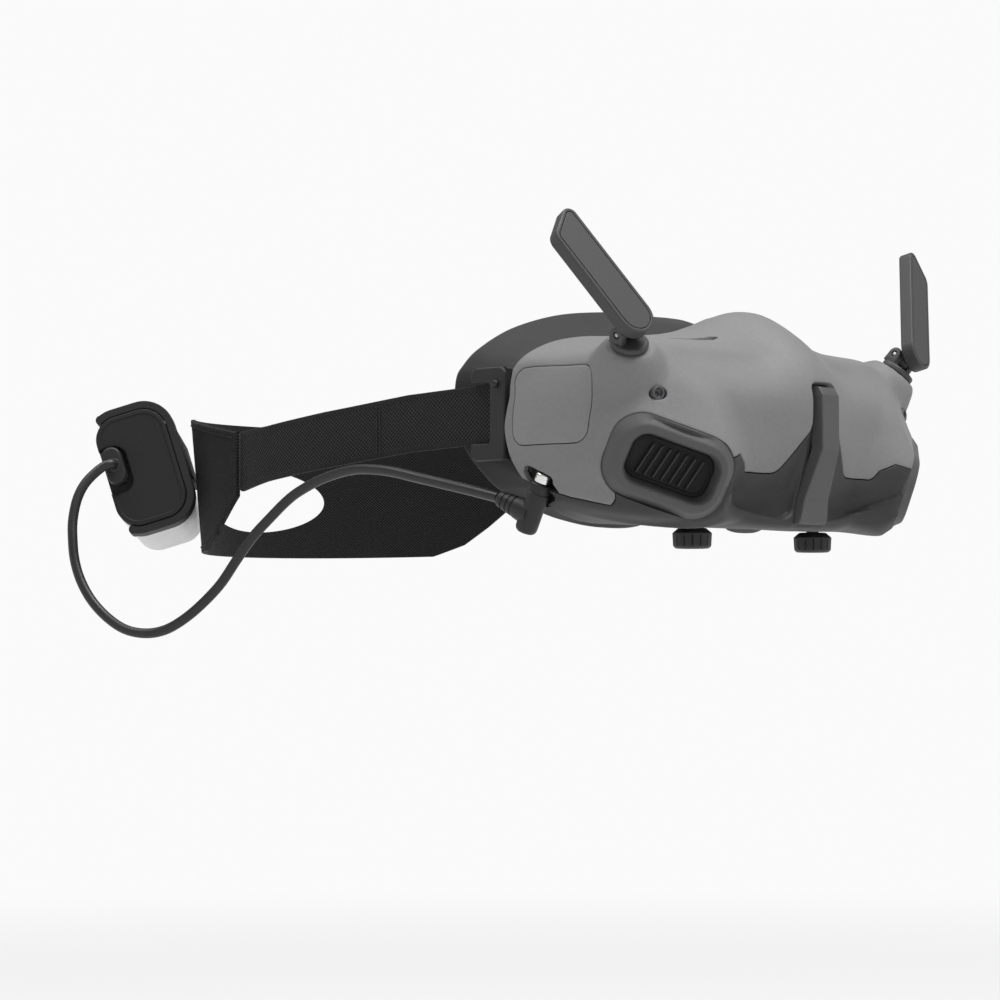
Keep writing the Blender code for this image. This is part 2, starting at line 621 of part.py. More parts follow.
# ---------------------------------------------------------------- lens modules
for side, word in ((-1, "right"), (1, "left")):
    x = side * LENS_X
    m = frame_of((x, 0, LENS_Z), (1, 0, 0), (0, 0, -1), (0, 1, 0))
    turned(f"lens_barrel_{word}", [(BARREL_R, -19.0), (BARREL_R, -46.0), (BARREL_R - BARREL_T, -46.0), (BARREL_R - BARREL_T, -19.0)],
           BLACK, m, 36, ring=True)
    r = BARREL_R - BARREL_T - 0.45
    turned(f"eyepiece_lens_{word}", [(0, -21.6), (r * 0.55, -22.4), (r, -24.6), (r, -27.4), (r * 0.55, -29.6), (0, -30.4)], GLASS, m, 36)
    box(f"micro_display_{word}", (x - 13, -50.0, LENS_Z - 11.5), (x + 13, -46.7, LENS_Z + 11.5), BLACK)
    x0, x1 = (x - 9, x + 6.0) if side < 0 else (x - 6.0, x + 9)
    carriage = box(f"lens_carriage_{word}", (x0, -50.0, -30.0), (x1, -35.6, -22.6), DARK)
    rod_hole = cylinder(f"rod_hole_{word}", ROD_R + 0.35, -12, 12, None, frame_of((x, ROD_Y, ROD_Z), (0, 1, 0), (0, 0, 1), (1, 0, 0)), 20, None, helpers)
    stem_hole = cylinder(f"stem_hole_{word}", 2.5, -10, 10, None, frame_of((x, KNOB_Y, -26), (1, 0, 0), (0, 1, 0), (0, 0, 1)), 20, None, helpers)
    boolean(carriage, rod_hole)
    boolean(carriage, stem_hole)
    up = frame_of((x, KNOB_Y, 0), (1, 0, 0), (0, 1, 0), (0, 0, 1))
    turned(
        f"focus_knob_{word}",
        [(0, -23.6), (2.1, -23.6), (2.1, -35.4), (4.6, -35.4), (KNOB_R, -37.2), (KNOB_R - 0.3, -40.8), (KNOB_R - 1.2, -42.2), (0, -42.2)],
        BLACK, up, 28,
    )
    slot = outline(f"knob_slot_{word}", [rounded_rect(9.0, 3.0, 2.9, 5)], 14, None,
                   frame_of((x, KNOB_Y, -34), (1, 0, 0), (0, 1, 0), (0, 0, 1)), helpers, True)
    boolean(lower_shell, slot)
    cylinder(f"guide_rod_{word}", ROD_R, -18.5, 18.5, METAL, frame_of((side * 38.5, ROD_Y, ROD_Z), (0, 1, 0), (0, 0, 1), (1, 0, 0)), 16)

# ---------------------------------------------------------------- electronics and cooling
box("main_board", (-44, -60.6, -21), (44, -59.0, 12), BOARD)
fins = [(-17, 0), (-17, 1.6)]
for k in range(7):
    x0 = -16.0 + 4.8 * k
    fins += [(x0, 1.6), (x0, 5.4), (x0 + 1.4, 5.4), (x0 + 1.4, 1.6)]
fins = [(-17, 0), (17, 0), (17, 1.6)] + [p for p in reversed(fins[2:])] + [(-17, 1.6)]
outline("heat_sink", [[(x, y) for x, y in fins]], 20, METAL, frame_of((0, -61.0, -3), (1, 0, 0), (0, -1, 0), (0, 0, -1)))
FAN = (0, -48.0, 19.2)
fan_m = frame_of(FAN, (1, 0, 0), (0, 1, 0), (0, 0, 1))
circle = [(10.7 * math.cos(math.tau * k / 32), 10.7 * math.sin(math.tau * k / 32)) for k in range(32)]
outline("fan_housing", [rounded_rect(11.8, 11.8, 2, 2), circle], 6.0, BLACK, fan_m)
blades = []
for k in range(7):
    a = math.tau * k / 7
    for r, da in ((4.4, 0.0), (10.2, 0.42), (10.2, 0.58), (4.4, 0.52)):
        blades.append((r * math.cos(a + da), r * math.sin(a + da)))
outline("fan_rotor", [blades], 4.4, BLACK, fan_m)

# ---------------------------------------------------------------- antennas
ANT_PIN_H, ANT_PIN_BACK = 5.4, 2.0  # pin above the seat, and behind the base's axis
BASE_R = 6.15
PADDLE_HALF = 6.7
AIM = {-1: (-0.352, 0.496, 0.794), 1: (0.419, 0.303, 0.855)}  # way each antenna points, as worn


def antenna_axes(side):
    n = Vector((side * SEAT_N.x, SEAT_N.y, SEAT_N.z))
    q = Vector(AIM[side]).normalized()
    p = n.cross(q).normalized()
    if p.z > 0:
        p = -p  # the pin's outer end
    k = q.cross(p).normalized()
    if k.y > 0:
        k = -k  # the paddle's front face
    f = n.cross(p).normalized()
    if f.y > 0:
        f = -f
    return n, q, p, k, f


for side, word in ((-1, "right"), (1, "left")):
    n, q, p, k, f = antenna_axes(side)
    seat = Vector((side * SEAT.x, SEAT.y, SEAT.z))
    base_m = frame_of(seat, p, n.cross(p), n)
    fy = 1.0 if n.cross(p).dot(f) > 0 else -1.0
    base = cylinder(f"antenna_base_{word}", BASE_R, GAP, 2.4, ANT, base_m, 28)
    # two ears standing on the plate, round about the pin, with a slot for the paddle's knuckle
    ear_y = -fy * ANT_PIN_BACK
    prof = [(-2.55, 0.6), (2.55, 0.6)] + [
        (2.55 * math.cos(a), ANT_PIN_H + 2.55 * math.sin(a)) for a in np.linspace(0, math.pi, 9)
    ]
    ear_frame = frame_of(seat, n.cross(p), n, p)
    ear = outline(f"ear_{word}", [[(ear_y + x, z) for x, z in prof]], 10.4, None, ear_frame, helpers, True)
    boolean(base, ear, "UNION")
    slot = box(f"ear_slot_{word}", (-2.6, -9, 2.4), (2.6, 9, 12), None, 0, base_m, helpers)
    boolean(base, slot)
    pin_c = seat + n * ANT_PIN_H - f * ANT_PIN_BACK
    pin_m = frame_of(pin_c, f, n.cross(p).cross(p), p)
    bore = cylinder(f"pin_bore_{word}", 1.15, -8, 8, None, pin_m, 16, None, helpers)
    boolean(base, bore)
    cylinder(f"antenna_pin_{word}", 0.8, -5.0, 5.0, METAL, pin_m, 12)
    # paddle: local x along the pin's axis (outer side +), local y along its length, local z out of its front face
    pad_m = frame_of(pin_c, p, q, p.cross(q))
    kz = 1.0 if p.cross(q).dot(k) > 0 else -1.0
    hw = PADDLE_HALF
    pts = [(-hw * math.cos(a), 1.4 - hw * math.sin(a)) for a in np.linspace(0, math.pi, 13)]
    top = []
    for cx, cy, r, a0, a1 in ((hw - 4.0, 34.2, 4.0, 0.0, 1.15), (-hw + 3.0, 39.2, 3.0, 1.15, math.pi)):
        top += [(cx + r * math.cos(a), cy + r * math.sin(a)) for a in np.linspace(a0, a1, 6)]
    paddle = outline(f"antenna_paddle_{word}", [pts + top], 3.8, ANT, shifted(pad_m, z=kz * 5.3), parts, True)
    knuckle = cylinder(f"knuckle_{word}", 2.35, -2.25, 2.25, None, pin_m, 20, None, helpers)
    web_lo, web_hi = (-2.25, -1.4, 0.0), (2.25, 1.9, 5.0)
    if kz < 0:
        web_lo, web_hi = (-2.25, -1.4, -5.0), (2.25, 1.9, 0.0)
    web = box(f"knuckle_web_{word}", web_lo, web_hi, None, 0, pad_m, helpers)
    boolean(paddle, web, "UNION")
    boolean(paddle, knuckle, "UNION")
    eye_bore = cylinder(f"knuckle_bore_{word}", 1.15, -8, 8, None, pin_m, 16, None, helpers)
    boolean(paddle, eye_bore)
    cover_pts = [(-(hw - 1.5) * math.cos(a), 1.4 - (hw - 1.5) * math.sin(a)) for a in np.linspace(0, math.pi, 11)]
    cover_top = []
    for cx, cy, r, a0, a1 in ((hw - 4.0, 34.2, 2.5, 0.0, 1.15), (-hw + 3.0, 39.2, 1.5, 1.15, math.pi)):
        cover_top += [(cx + r * math.cos(a), cy + r * math.sin(a)) for a in np.linspace(a0, a1, 5)]
    outline(f"antenna_cover_{word}", [cover_pts + cover_top], 0.6, ANT, shifted(pad_m, z=kz * (7.2 + 0.65)), parts)

# ---------------------------------------------------------------- strap anchors and straps
STRAP_PATH = [(79.0, 1.6), (78.7, 20), (78.2, 40), (77.9, 60), (77.8, 80), (77.2, 100), (75.2, 114), (71.6, 127)]
STRAP_Z = [(1.6, 2.0), (40, 0.3), (80, -3.6), (127, -9.0)]


def strap_wrap(side):
    def wrap(u, v, w):
        out = []
        for a, b, c in zip(u, v, w):
            p, q = catmull(STRAP_PATH, a), catmull(STRAP_PATH, min(a + 0.05, 7))
            o = catmull(STRAP_PATH, a - 0.05)
            d = (q - o) / np.linalg.norm(q - o)
            nrm = np.array([-d[1], d[0]])
            if nrm[0] < 0:
                nrm = -nrm
            z = np.interp(p[1], [k for k, _ in STRAP_Z], [k for _, k in STRAP_Z])
            half = np.interp(p[1], [0, 110, 127], [STRAP_W / 2, STRAP_W / 2, 10.6])
            off = nrm * (c + 0.5) * STRAP_T
            out.append((side * (p[0] + off[0]), p[1] + off[1], z + b * half))
        return np.array(out)
    return wrap


for side, word in ((-1, "right"), (1, "left")):
    wrapped(f"side_strap_{word}", np.linspace(0, 7, 22), [-1, 0, 1], [], [], strap_wrap(side), WEB)
    xs = sorted((side * 77.8, side * 82.0))
    anchor = box(f"strap_anchor_{word}", (xs[0], -6.2, -13.5), (xs[1], 8.6, 17.0), RUBBER)
    xs = sorted((side * 74.0, side * 80.35))
    pocket = box(f"pocket_{word}", (xs[0], -0.2, 2.0 - 10.3), (xs[1], 12, 2.0 + 10.3), None, 0, None, helpers)
    boolean(anchor, pocket)
    peg_m = frame_of((side * 82.0, -2.6, 11.4), (0, 1, 0), (0, 0, side), (side, 0, 0))
    cylinder(f"strap_peg_{word}", 1.3, 0.3, 1.5, BLACK, peg_m, 14)


def cradle_wrap(u, v, w):
    """u: angle round the back (radians, 0 at the right seam side), v: -1 bottom edge to 1 top edge."""
    out = []
    for a, b, c in zip(u, v, w):
        c0 = math.cos(a)  # a from seam to seam: 0 = +X side, pi = -X side
        y_seam = math.sin(a)
        back = max(0.0, y_seam)
        top = np.interp(back, [0.25, 0.33, 0.5, 0.8, 1.0], [1.6, 1.6, 4.5, 9.5, 10.0])
        bot = np.interp(back, [0.25, 0.29, 0.40, 0.50, 0.62, 1.0], [-19.6, -19.8, -28.5, -35.5, -40.0, -41.0])
        z = (top + bot) / 2 + b * (top - bot) / 2
        depth = np.interp(back, [0.27, 0.6, 1.0], [0.0, 1.0, 1.0])
        rb = 100.0 + depth * (1.5 + 0.16 * (z + 10))
        x, y = 77.0 * c0, 96.6 + rb * y_seam
        nx, ny = c0 / 77.0, y_seam / rb
        ln = math.hypot(nx, ny)
        off = (c + 0.5) * STRAP_T
        out.append((x + nx / ln * off, y + ny / ln * off, z))
    return np.array(out)


A0 = 0.323
opening = [(math.pi / 2 + 0.42 * math.cos(a), -0.12 + 0.5 * math.sin(a)) for a in np.linspace(0, math.tau, 25)[:-1]]
wrapped("rear_cradle", np.linspace(A0, math.pi - A0, 34), np.linspace(-1, 1, 6), [], [opening], cradle_wrap, WEB)

# ---------------------------------------------------------------- battery, its end cap and its clip
VIEW = Vector((0.749, 0.6626, 0.0))
RIGHT = Vector((0.6626, -0.749, 0.0))
LONG = Vector((0.742, 0.662, -0.10)).normalized()
TILT = math.radians(17.5)
tall0 = RIGHT * -math.sin(TILT) + Vector((0, 0, 1)) * math.cos(TILT)
THICK = LONG.cross(tall0).normalized()
if THICK.dot(RIGHT) > 0:
    THICK = -THICK  # out of the head
TALL = THICK.cross(LONG).normalized()
if TALL.z < 0:
    TALL = -TALL
NEAR = Vector((-83.6, 167.4, -9.9))
batt_m = frame_of(NEAR, THICK, TALL, THICK.cross(TALL))
zs = 1.0 if THICK.cross(TALL).dot(LONG) > 0 else -1.0
bt, bh, bl = BATTERY


def along(a, b):
    """Extrusion centre and depth for a stretch a..b of the battery's length."""
    return shifted(batt_m, z=zs * (a + b) / 2), b - a


m, d = along(0.0, 7.0)
cap = outline("battery_cap", [rounded_rect(bt / 2, bh / 2, 8.6, 6)], d, BLACK, m, parts, True)
PORT_T, PORT_H = 8.9, 2.8
recess = outline("port_recess", [rounded_rect(5.6, 8.6, 4.4, 5, 9.6, 1.6)], 7.0, None, shifted(batt_m, z=0.0), helpers, True)
boolean(cap, recess)
m, d = along(7.35, bl)
outline("battery_body", [rounded_rect(bt / 2, bh / 2, 8.6, 6)], d, BATT, m)
# clip: C section, open on its outer side
outer, inner = rounded_rect(bt / 2 + 3.0, bh / 2 + 3.0, 11.4, 8), rounded_rect(bt / 2 + 0.4, bh / 2 + 0.4, 9.0, 8)
open_x = 9.5
arc_o = [p for p in outer if p[0] < open_x]
arc_i = [p for p in inner if p[0] < open_x]


def sweep_order(pts):
    return sorted(pts, key=lambda p: math.atan2(p[1], -p[0]))


c_loop = sweep_order(arc_o) + sweep_order(arc_i)[::-1]
m, d = along(0.3, 9.0)
clip = outline("battery_clip", [c_loop], d, BLACK, m, parts, True)
m, d = along(2.0, 62.0)
boolean(clip, box("clip_plate", (-bt / 2 - 2.5, -4.0, -d / 2), (-bt / 2 - 0.5, 13.0, d / 2), None, 0, m, helpers), "UNION")

# power button on the battery's outer face, near the cap
btn_m = frame_of(NEAR + THICK * (bt / 2) + LONG * 22.0 * 1.0 + TALL * 4.0, TALL, LONG, THICK)
well = cylinder("button_well", 4.3, -1.6, 3, None, btn_m, 20, None, helpers)
body_mesh = curve_to_mesh(bpy.data.objects["battery_body"], "battery_body", BATT, parts)
boolean(body_mesh, well)
cylinder("power_button", 3.9, -0.7, 0.7, BLACK, btn_m, 20)

# ---------------------------------------------------------------- power lead
PLUG_C = NEAR + THICK * PORT_T + TALL * PORT_H
plug_m = frame_of(PLUG_C, THICK, TALL, THICK.cross(TALL))
outline("battery_plug", [rounded_rect(3.6, 6.8, 3.5, 5)], 7.2, BLACK, shifted(plug_m, z=-zs * 0.5))
cable_exit = PLUG_C - LONG * 4.1
low = SOCK - AX * 15.5
barrel_m = frame_of(SOCK, (1, 0, 0), AX.cross(Vector((1, 0, 0))), AX)
cylinder("plug_tip", 2.7, -0.3, 2.6, METAL, barrel_m, 20)
plug = cylinder("elbow_plug", 3.65, -18.2, -0.7, BLACK, barrel_m, 24)
ARM_END = Vector((-83.1, -4.6, -25.9))
arm_start = SOCK - AX * 11.6
arm_dir = (ARM_END - arm_start).normalized()
arm_side = arm_dir.cross(Vector((1, 0, 0))).normalized()
arm_len = (ARM_END - arm_start).length
arm = cylinder("plug_arm", 4.2, 0.0, arm_len - 1.0, None, frame_of(arm_start, Vector((1, 0, 0)), arm_side, arm_dir), 16, 2.4, helpers)
boolean(plug, arm, "UNION")

ROUTE = [
    tuple(cable_exit - LONG * 0.4), tuple(cable_exit - LONG * 4.4), (-99.1, 171.0, -10.7), (-104.2, 173.2, -15.8),
    (-107.9, 173.8, -21.8), (-110.6, 173.1, -29.4), (-112.2, 171.4, -35.9), (-113.4, 168.9, -43.8), (-113.6, 165.4, -51.2),
    (-112.7, 160.6, -58.3), (-110.8, 154.4, -64.4), (-108.4, 147.6, -68.6), (-105.5, 140.4, -70.0), (-102.9, 133.4, -68.9),
    (-100.6, 126.8, -65.5), (-98.2, 120.1, -60.3), (-95.3, 113.2, -53.0), (-93.2, 107.4, -44.7), (-91.2, 101.5, -36.8),
    (-89.1, 94.7, -30.0), (-87.6, 88.5, -24.6), (-86.8, 83.0, -21.3), (-85.6, 74.1, -17.6), (-84.8, 64.0, -15.2), (-84.4, 55.2, -14.6),
    (-84.0, 43.4, -15.7), (-83.6, 30.4, -18.4), (-83.4, 16.8, -21.2), (-83.3, 6.4, -23.4), tuple(ARM_END),
]


def smooth_route(points, spacing):
    """Points a fixed distance apart on a smooth curve through the given points."""
    dense = [catmull(points, t) for t in np.linspace(0, len(points) - 1, 60 * len(points))]
    dense = np.array(dense)
    ln = np.concatenate([[0], np.cumsum(np.linalg.norm(np.diff(dense, axis=0), axis=1))])
    count = max(2, int(round(ln[-1] / spacing)))
    want = np.linspace(0, ln[-1], count + 1)
    return np.stack([np.interp(want, ln, dense[:, i]) for i in range(3)], -1), ln[-1]


route, lead_length = smooth_route(ROUTE, 4.4)
cu = bpy.data.curves.new("power_lead", "CURVE")
cu.dimensions, cu.bevel_depth, cu.bevel_resolution, cu.use_fill_caps = "3D", CORD_D / 2 * MM, 2, True
sp = cu.splines.new("POLY")
sp.points.add(len(route) - 1)
for pt, co in zip(sp.points, route):
    pt.co = (*(co * MM), 1)
cu.materials.append(CORD)
parts.objects.link(bpy.data.objects.new("power_lead", cu))
print("power lead length", round(lead_length, 1), "mm")

# ---------------------------------------------------------------- power socket, seated in a relief of the shells' lower edge
room = box("socket_room", (-86, -31, -29.5), (-74.0, -13.0, -12.2), None, 0, None, helpers)
boolean(rear_frame, room)
boolean(face_seal, room)
socket = box("power_socket", (-79.2, -28.0, -22.0), (-74.4, -15.6, -14.0), BLACK)
boolean(socket, cylinder("tip_bore", 3.1, -2.0, 2.8, None, barrel_m, 24, None, helpers))
boolean(socket, cylinder("plug_bore", 4.1, -22.0, -0.4, None, barrel_m, 24, None, helpers))

# ---------------------------------------------------------------- frame screws
for side, word in ((-1, "right"), (1, "left")):
    for zz, lvl in ((10.0, "upper"), (-11.0, "lower")):
        x = side * 69.5
        y = float(frame_y(np.array([x]), np.array([zz]))[0]) - 1.7
        turned(f"frame_screw_{lvl}_{word}", [(0, 1.6), (1.2, 1.5), (1.7, 0.9), (1.7, 0.4), (0, 0.4)], METAL,
               frame_of((x, y, zz), (1, 0, 0), (0, 0, -1), (0, 1, 0)), 12)
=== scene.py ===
"""FPV goggles: the looks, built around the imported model."""

import json
import math

import bmesh
import bpy
import numpy as np
from mathutils import Matrix, Vector
from mathutils.geometry import delaunay_2d_cdt

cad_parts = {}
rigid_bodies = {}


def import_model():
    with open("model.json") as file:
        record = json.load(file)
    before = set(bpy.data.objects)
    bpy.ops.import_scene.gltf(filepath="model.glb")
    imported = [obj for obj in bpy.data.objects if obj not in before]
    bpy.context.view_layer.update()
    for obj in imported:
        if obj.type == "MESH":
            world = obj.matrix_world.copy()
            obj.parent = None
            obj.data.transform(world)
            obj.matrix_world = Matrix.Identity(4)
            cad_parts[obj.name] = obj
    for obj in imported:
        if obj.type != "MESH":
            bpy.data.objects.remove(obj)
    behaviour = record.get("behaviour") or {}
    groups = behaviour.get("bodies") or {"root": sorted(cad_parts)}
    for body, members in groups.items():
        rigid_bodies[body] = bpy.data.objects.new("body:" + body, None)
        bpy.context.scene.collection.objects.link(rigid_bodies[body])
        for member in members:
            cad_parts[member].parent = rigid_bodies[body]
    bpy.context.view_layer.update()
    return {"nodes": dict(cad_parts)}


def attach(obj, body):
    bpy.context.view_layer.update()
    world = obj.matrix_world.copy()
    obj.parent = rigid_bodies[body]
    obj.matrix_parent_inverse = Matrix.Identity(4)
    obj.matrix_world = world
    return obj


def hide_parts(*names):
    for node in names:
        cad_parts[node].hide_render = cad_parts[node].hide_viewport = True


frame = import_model()
MM = 0.001
NODES = frame["nodes"]
scene = bpy.context.scene

# ---------------------------------------------------------------- camera, from the front right of the wearer
cam = bpy.data.cameras.new("camera")
cam.lens, cam.sensor_width, cam.clip_start, cam.clip_end = 115.45, 36.0, 0.05, 100.0
cam_obj = bpy.data.objects.new("camera", cam)
scene.collection.objects.link(cam_obj)
right = Vector((0.6626, -0.7490, 0.0)).normalized()
ahead = Vector((0.7483, 0.6620, 0.0419)).normalized()
upward = right.cross(ahead).normalized()
m = Matrix.Identity(4)
for i, a in enumerate((right, upward, -ahead)):
    m[0][i], m[1][i], m[2][i] = a
m.translation = Vector((-0.8637, -0.6959, -0.0704))
cam_obj.matrix_world = m
scene.camera = cam_obj


# ---------------------------------------------------------------- small tools
def frame_of(origin, x, y, z):
    out = Matrix.Identity(4)
    for i, a in enumerate((x, y, z)):
        a = Vector(a).normalized()
        out[0][i], out[1][i], out[2][i] = a
    out.translation = Vector(origin) * MM
    return out


def shifted(matrix, x=0.0, y=0.0, z=0.0):
    return matrix @ Matrix.Translation(Vector((x, y, z)) * MM)


def rounded_rect(hx, hy, r, n=8, cx=0.0, cy=0.0, side=0):
    """Closed outline, counter-clockwise; side extra points are spread along each straight run."""
    pts = []
    for k, (sx, sy) in enumerate(((1, 1), (-1, 1), (-1, -1), (1, -1))):
        for i in range(n + 1):
            a = math.pi / 2 * (k + i / n)
            pts.append((cx + sx * (hx - r) + r * math.cos(a), cy + sy * (hy - r) + r * math.sin(a)))
    if side:
        out = []
        for k, p in enumerate(pts):
            out.append(p)
            if k % (n + 1) == n:
                q = pts[(k + 1) % len(pts)]
                out += [(p[0] + (q[0] - p[0]) * j / (side + 1), p[1] + (q[1] - p[1]) * j / (side + 1)) for j in range(1, side + 1)]
        pts = out
    return pts


def catmull(points, t):
    p = np.asarray(points, float)
    i = int(min(max(math.floor(t), 0), len(p) - 2))
    f = t - i
    a = p[i - 1] if i > 0 else 2 * p[0] - p[1]
    d = p[i + 2] if i + 2 < len(p) else 2 * p[-1] - p[-2]
    b, c = p[i], p[i + 1]
    return 0.5 * (2 * b + (c - a) * f + (2 * a - 5 * b + 4 * c - d) * f * f + (3 * b - a - 3 * c + d) * f**3)


def dense_line(points, spacing, closed=False):
    """Points a fixed distance apart along a smooth curve through the given points, and its length."""
    src = [tuple(p) for p in points]
    fine = np.array([catmull(src, t) for t in np.linspace(0, len(src) - 1, 40 * len(src))])
    ln = np.concatenate([[0], np.cumsum(np.linalg.norm(np.diff(fine, axis=0), axis=1))])
    count = max(2, int(round(ln[-1] / spacing)))
    want = np.linspace(0, ln[-1], count + 1)
    return np.stack([np.interp(want, ln, fine[:, i]) for i in range(fine.shape[1])], -1), ln[-1]


def new_object(name, verts, faces, mat, matrix=None, sharp=38, uv=None, weighted=False, mm=True, merge=0.0):
    """Mesh object from points (mm) and faces, shaded smooth up to the sharp angle."""
    me = bpy.data.meshes.new(name)
    co = np.asarray(verts, float) * (MM if mm else 1.0)
    me.from_pydata([tuple(v) for v in co], [], [tuple(int(i) for i in f) for f in faces])
    if uv is not None:
        layer = me.uv_layers.new(name="UVMap")
        idx = np.empty(len(me.loops), np.int32)
        me.loops.foreach_get("vertex_index", idx)
        layer.data.foreach_set("uv", np.asarray(uv, np.float32)[idx].ravel())
    if merge:
        bm = bmesh.new()
        bm.from_mesh(me)
        bmesh.ops.remove_doubles(bm, verts=bm.verts, dist=merge)
        bm.to_mesh(me)
        bm.free()
    me.validate()
    me.materials.append(mat)
    me.shade_smooth()
    me.set_sharp_from_angle(angle=math.radians(sharp))
    o = bpy.data.objects.new(name, me)
    scene.collection.objects.link(o)
    if matrix is not None:
        me.transform(matrix)
    if weighted:
        w = o.modifiers.new("weighted", "WEIGHTED_NORMAL")
        w.keep_sharp = True
    return o


def fix_normals(o):
    bm = bmesh.new()
    bm.from_mesh(o.data)
    bmesh.ops.recalc_face_normals(bm, faces=bm.faces)
    bm.to_mesh(o.data)
    bm.free()
    return o


def loft(rings, closed=True, cap_first=True, cap_last=True):
    """Points and faces joining equal rings of 3D points."""
    n = len(rings[0])
    pts = [tuple(p) for r in rings for p in r]
    faces = []
    for k in range(len(rings) - 1):
        a, b = k * n, (k + 1) * n
        for i in range(n if closed else n - 1):
            j = (i + 1) % n
            faces.append((a + i, a + j, b + j, b + i))
    if cap_first:
        faces.append(tuple(range(n - 1, -1, -1)))
    if cap_last:
        a = (len(rings) - 1) * n
        faces.append(tuple(a + i for i in range(n)))
    return pts, faces


def inset2(loop, d):
    """Closed 2D outline (counter-clockwise) moved inwards by d."""
    p = np.asarray(loop, float)
    e1 = p - np.roll(p, 1, 0)
    e2 = np.roll(p, -1, 0) - p
    l1 = np.maximum(np.linalg.norm(e1, axis=1, keepdims=True), 1e-9)
    l2 = np.maximum(np.linalg.norm(e2, axis=1, keepdims=True), 1e-9)
    n1 = np.stack([-e1[:, 1], e1[:, 0]], -1) / l1
    n2 = np.stack([-e2[:, 1], e2[:, 0]], -1) / l2
    n = n1 + n2
    n /= np.maximum(np.linalg.norm(n, axis=1, keepdims=True), 1e-9)
    c = np.clip((n * n1).sum(1, keepdims=True), 0.5, 1)
    return p + n * d / c


def ccw(loop):
    p = np.asarray(loop, float)
    area = (p[:, 0] * np.roll(p[:, 1], -1) - np.roll(p[:, 0], -1) * p[:, 1]).sum()
    return p if area > 0 else p[::-1]


def stack(name, loop, levels, mat, matrix, cap_first=True, cap_last=True, sharp=38, crown=0.0):
    """Outline raised through levels of (inset, height): bevels, lips, grooves and steps."""
    loop = ccw(loop)
    rings = [[(x, y, z) for x, y in inset2(loop, d)] for d, z in levels]
    if crown and cap_last:
        last, z = np.array(rings[-1]), levels[-1][1]
        mid = last.mean(0)
        for f, h in ((0.75, 0.44), (0.5, 0.75), (0.25, 0.94)):
            ring = mid + (last - mid) * f
            ring[:, 2] = z + crown * h
            rings.append([tuple(p) for p in ring])
    pts, faces = loft(rings, True, cap_first, cap_last)
    o = new_object(name, pts, faces, mat, matrix, sharp, weighted=True)
    return fix_normals(o)


def round_levels(z0, z1, r, n=4, r0=None):
    """Levels of a slab from z0 to z1 with rounded rims of radius r (top) and r0 (bottom)."""
    r0 = r if r0 is None else r0
    s = 1 if z1 > z0 else -1
    out = [(r0 * (1 - math.sin(a)), z0 + s * r0 * (1 - math.cos(a))) for a in np.linspace(0, math.pi / 2, n + 1)] if r0 else [(0, z0)]
    out += [(r * (1 - math.cos(a)), z1 - s * r * (1 - math.sin(a))) for a in np.linspace(0, math.pi / 2, n + 1)] if r else [(0, z1)]
    return out


def revolve(name, profile, mat, matrix, steps=48, sharp=38, shape=None, close=False):
    """Profile of (radius, height) turned about local Z; shape(angle, radius, height) may flute it."""
    rings = []
    for k in range(steps):
        a = math.tau * k / steps
        row = []
        for r, z in profile:
            rr = shape(a, r, z) if shape else r
            row.append((rr * math.cos(a), rr * math.sin(a), z))
        rings.append(row)
    n = len(profile)
    pts = [p for r in rings for p in r]
    faces = []
    for k in range(steps):
        a, b = k * n, ((k + 1) % steps) * n
        for i in range(n if close else n - 1):
            j = (i + 1) % n
            faces.append((a + i, b + i, b + j, a + j))
    o = new_object(name, pts, faces, mat, matrix, sharp, merge=1e-7)
    return fix_normals(o)


def join(name, *objs):
    """One object out of several."""
    base = objs[0]
    bm = bmesh.new()
    mats = []
    for o in objs:
        me = o.data
        for s in me.materials:
            if s not in mats:
                mats.append(s)
    for o in objs:
        me = o.data.copy()
        me.transform(o.matrix_world)
        remap = [mats.index(s) for s in me.materials]
        for p in me.polygons:
            p.material_index = remap[p.material_index]
        bm.from_mesh(me)
        bpy.data.meshes.remove(me)
    me = bpy.data.meshes.new(name)
    bm.to_mesh(me)
    bm.free()
    for s in mats:
        me.materials.append(s)
    out = bpy.data.objects.new(name, me)
    scene.collection.objects.link(out)
    if any(mod.type == "WEIGHTED_NORMAL" for o in objs for mod in o.modifiers):
        w = out.modifiers.new("weighted", "WEIGHTED_NORMAL")
        w.keep_sharp = True
    for o in objs:
        bpy.data.objects.remove(o, do_unlink=True)
    return out


def put(obj, body, slot_name, *nodes):
    """The piece rides on body and stands for the CAD nodes, which it hides; slot_name is not used."""
    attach(obj, body)
    if nodes:
        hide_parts(*nodes)
    return obj


# ---------------------------------------------------------------- the outer surface of the goggles' body
NET_X = [
    [0, 6, 13, 21, 32, 44, 54, 62, 69, 74, 78, 80, 81],
    [0, 6, 13, 21, 32, 44, 54, 62, 69.5, 75, 79, 80.8, 81.5],
    [0, 6, 13, 21, 32, 44, 54, 62, 69, 75, 79, 81, 81.8],
    [0, 6, 13, 21, 32, 44, 54, 62.5, 70.5, 76.5, 80.2, 82, 82],
    [0, 6, 13, 21, 32, 44, 54, 63, 71, 78, 81.5, 82.8, 82.2],
    [0, 6, 13, 21, 32, 44, 54, 63, 72, 79.5, 82.5, 83.3, 82.3],
    [0, 6, 13, 21, 32, 44, 54, 63, 72, 80, 83, 83.5, 82.2],
    [0, 6, 13, 21, 32, 44, 54, 62, 71, 78, 81.5, 82.3, 81.8],
    [0, 6, 13, 21, 32, 44, 54, 62, 70, 76, 79.5, 80.7, 80.8],
    [0, 6, 13, 21, 32, 44, 54, 62, 68, 73, 76.5, 78.5, 79.5],
]
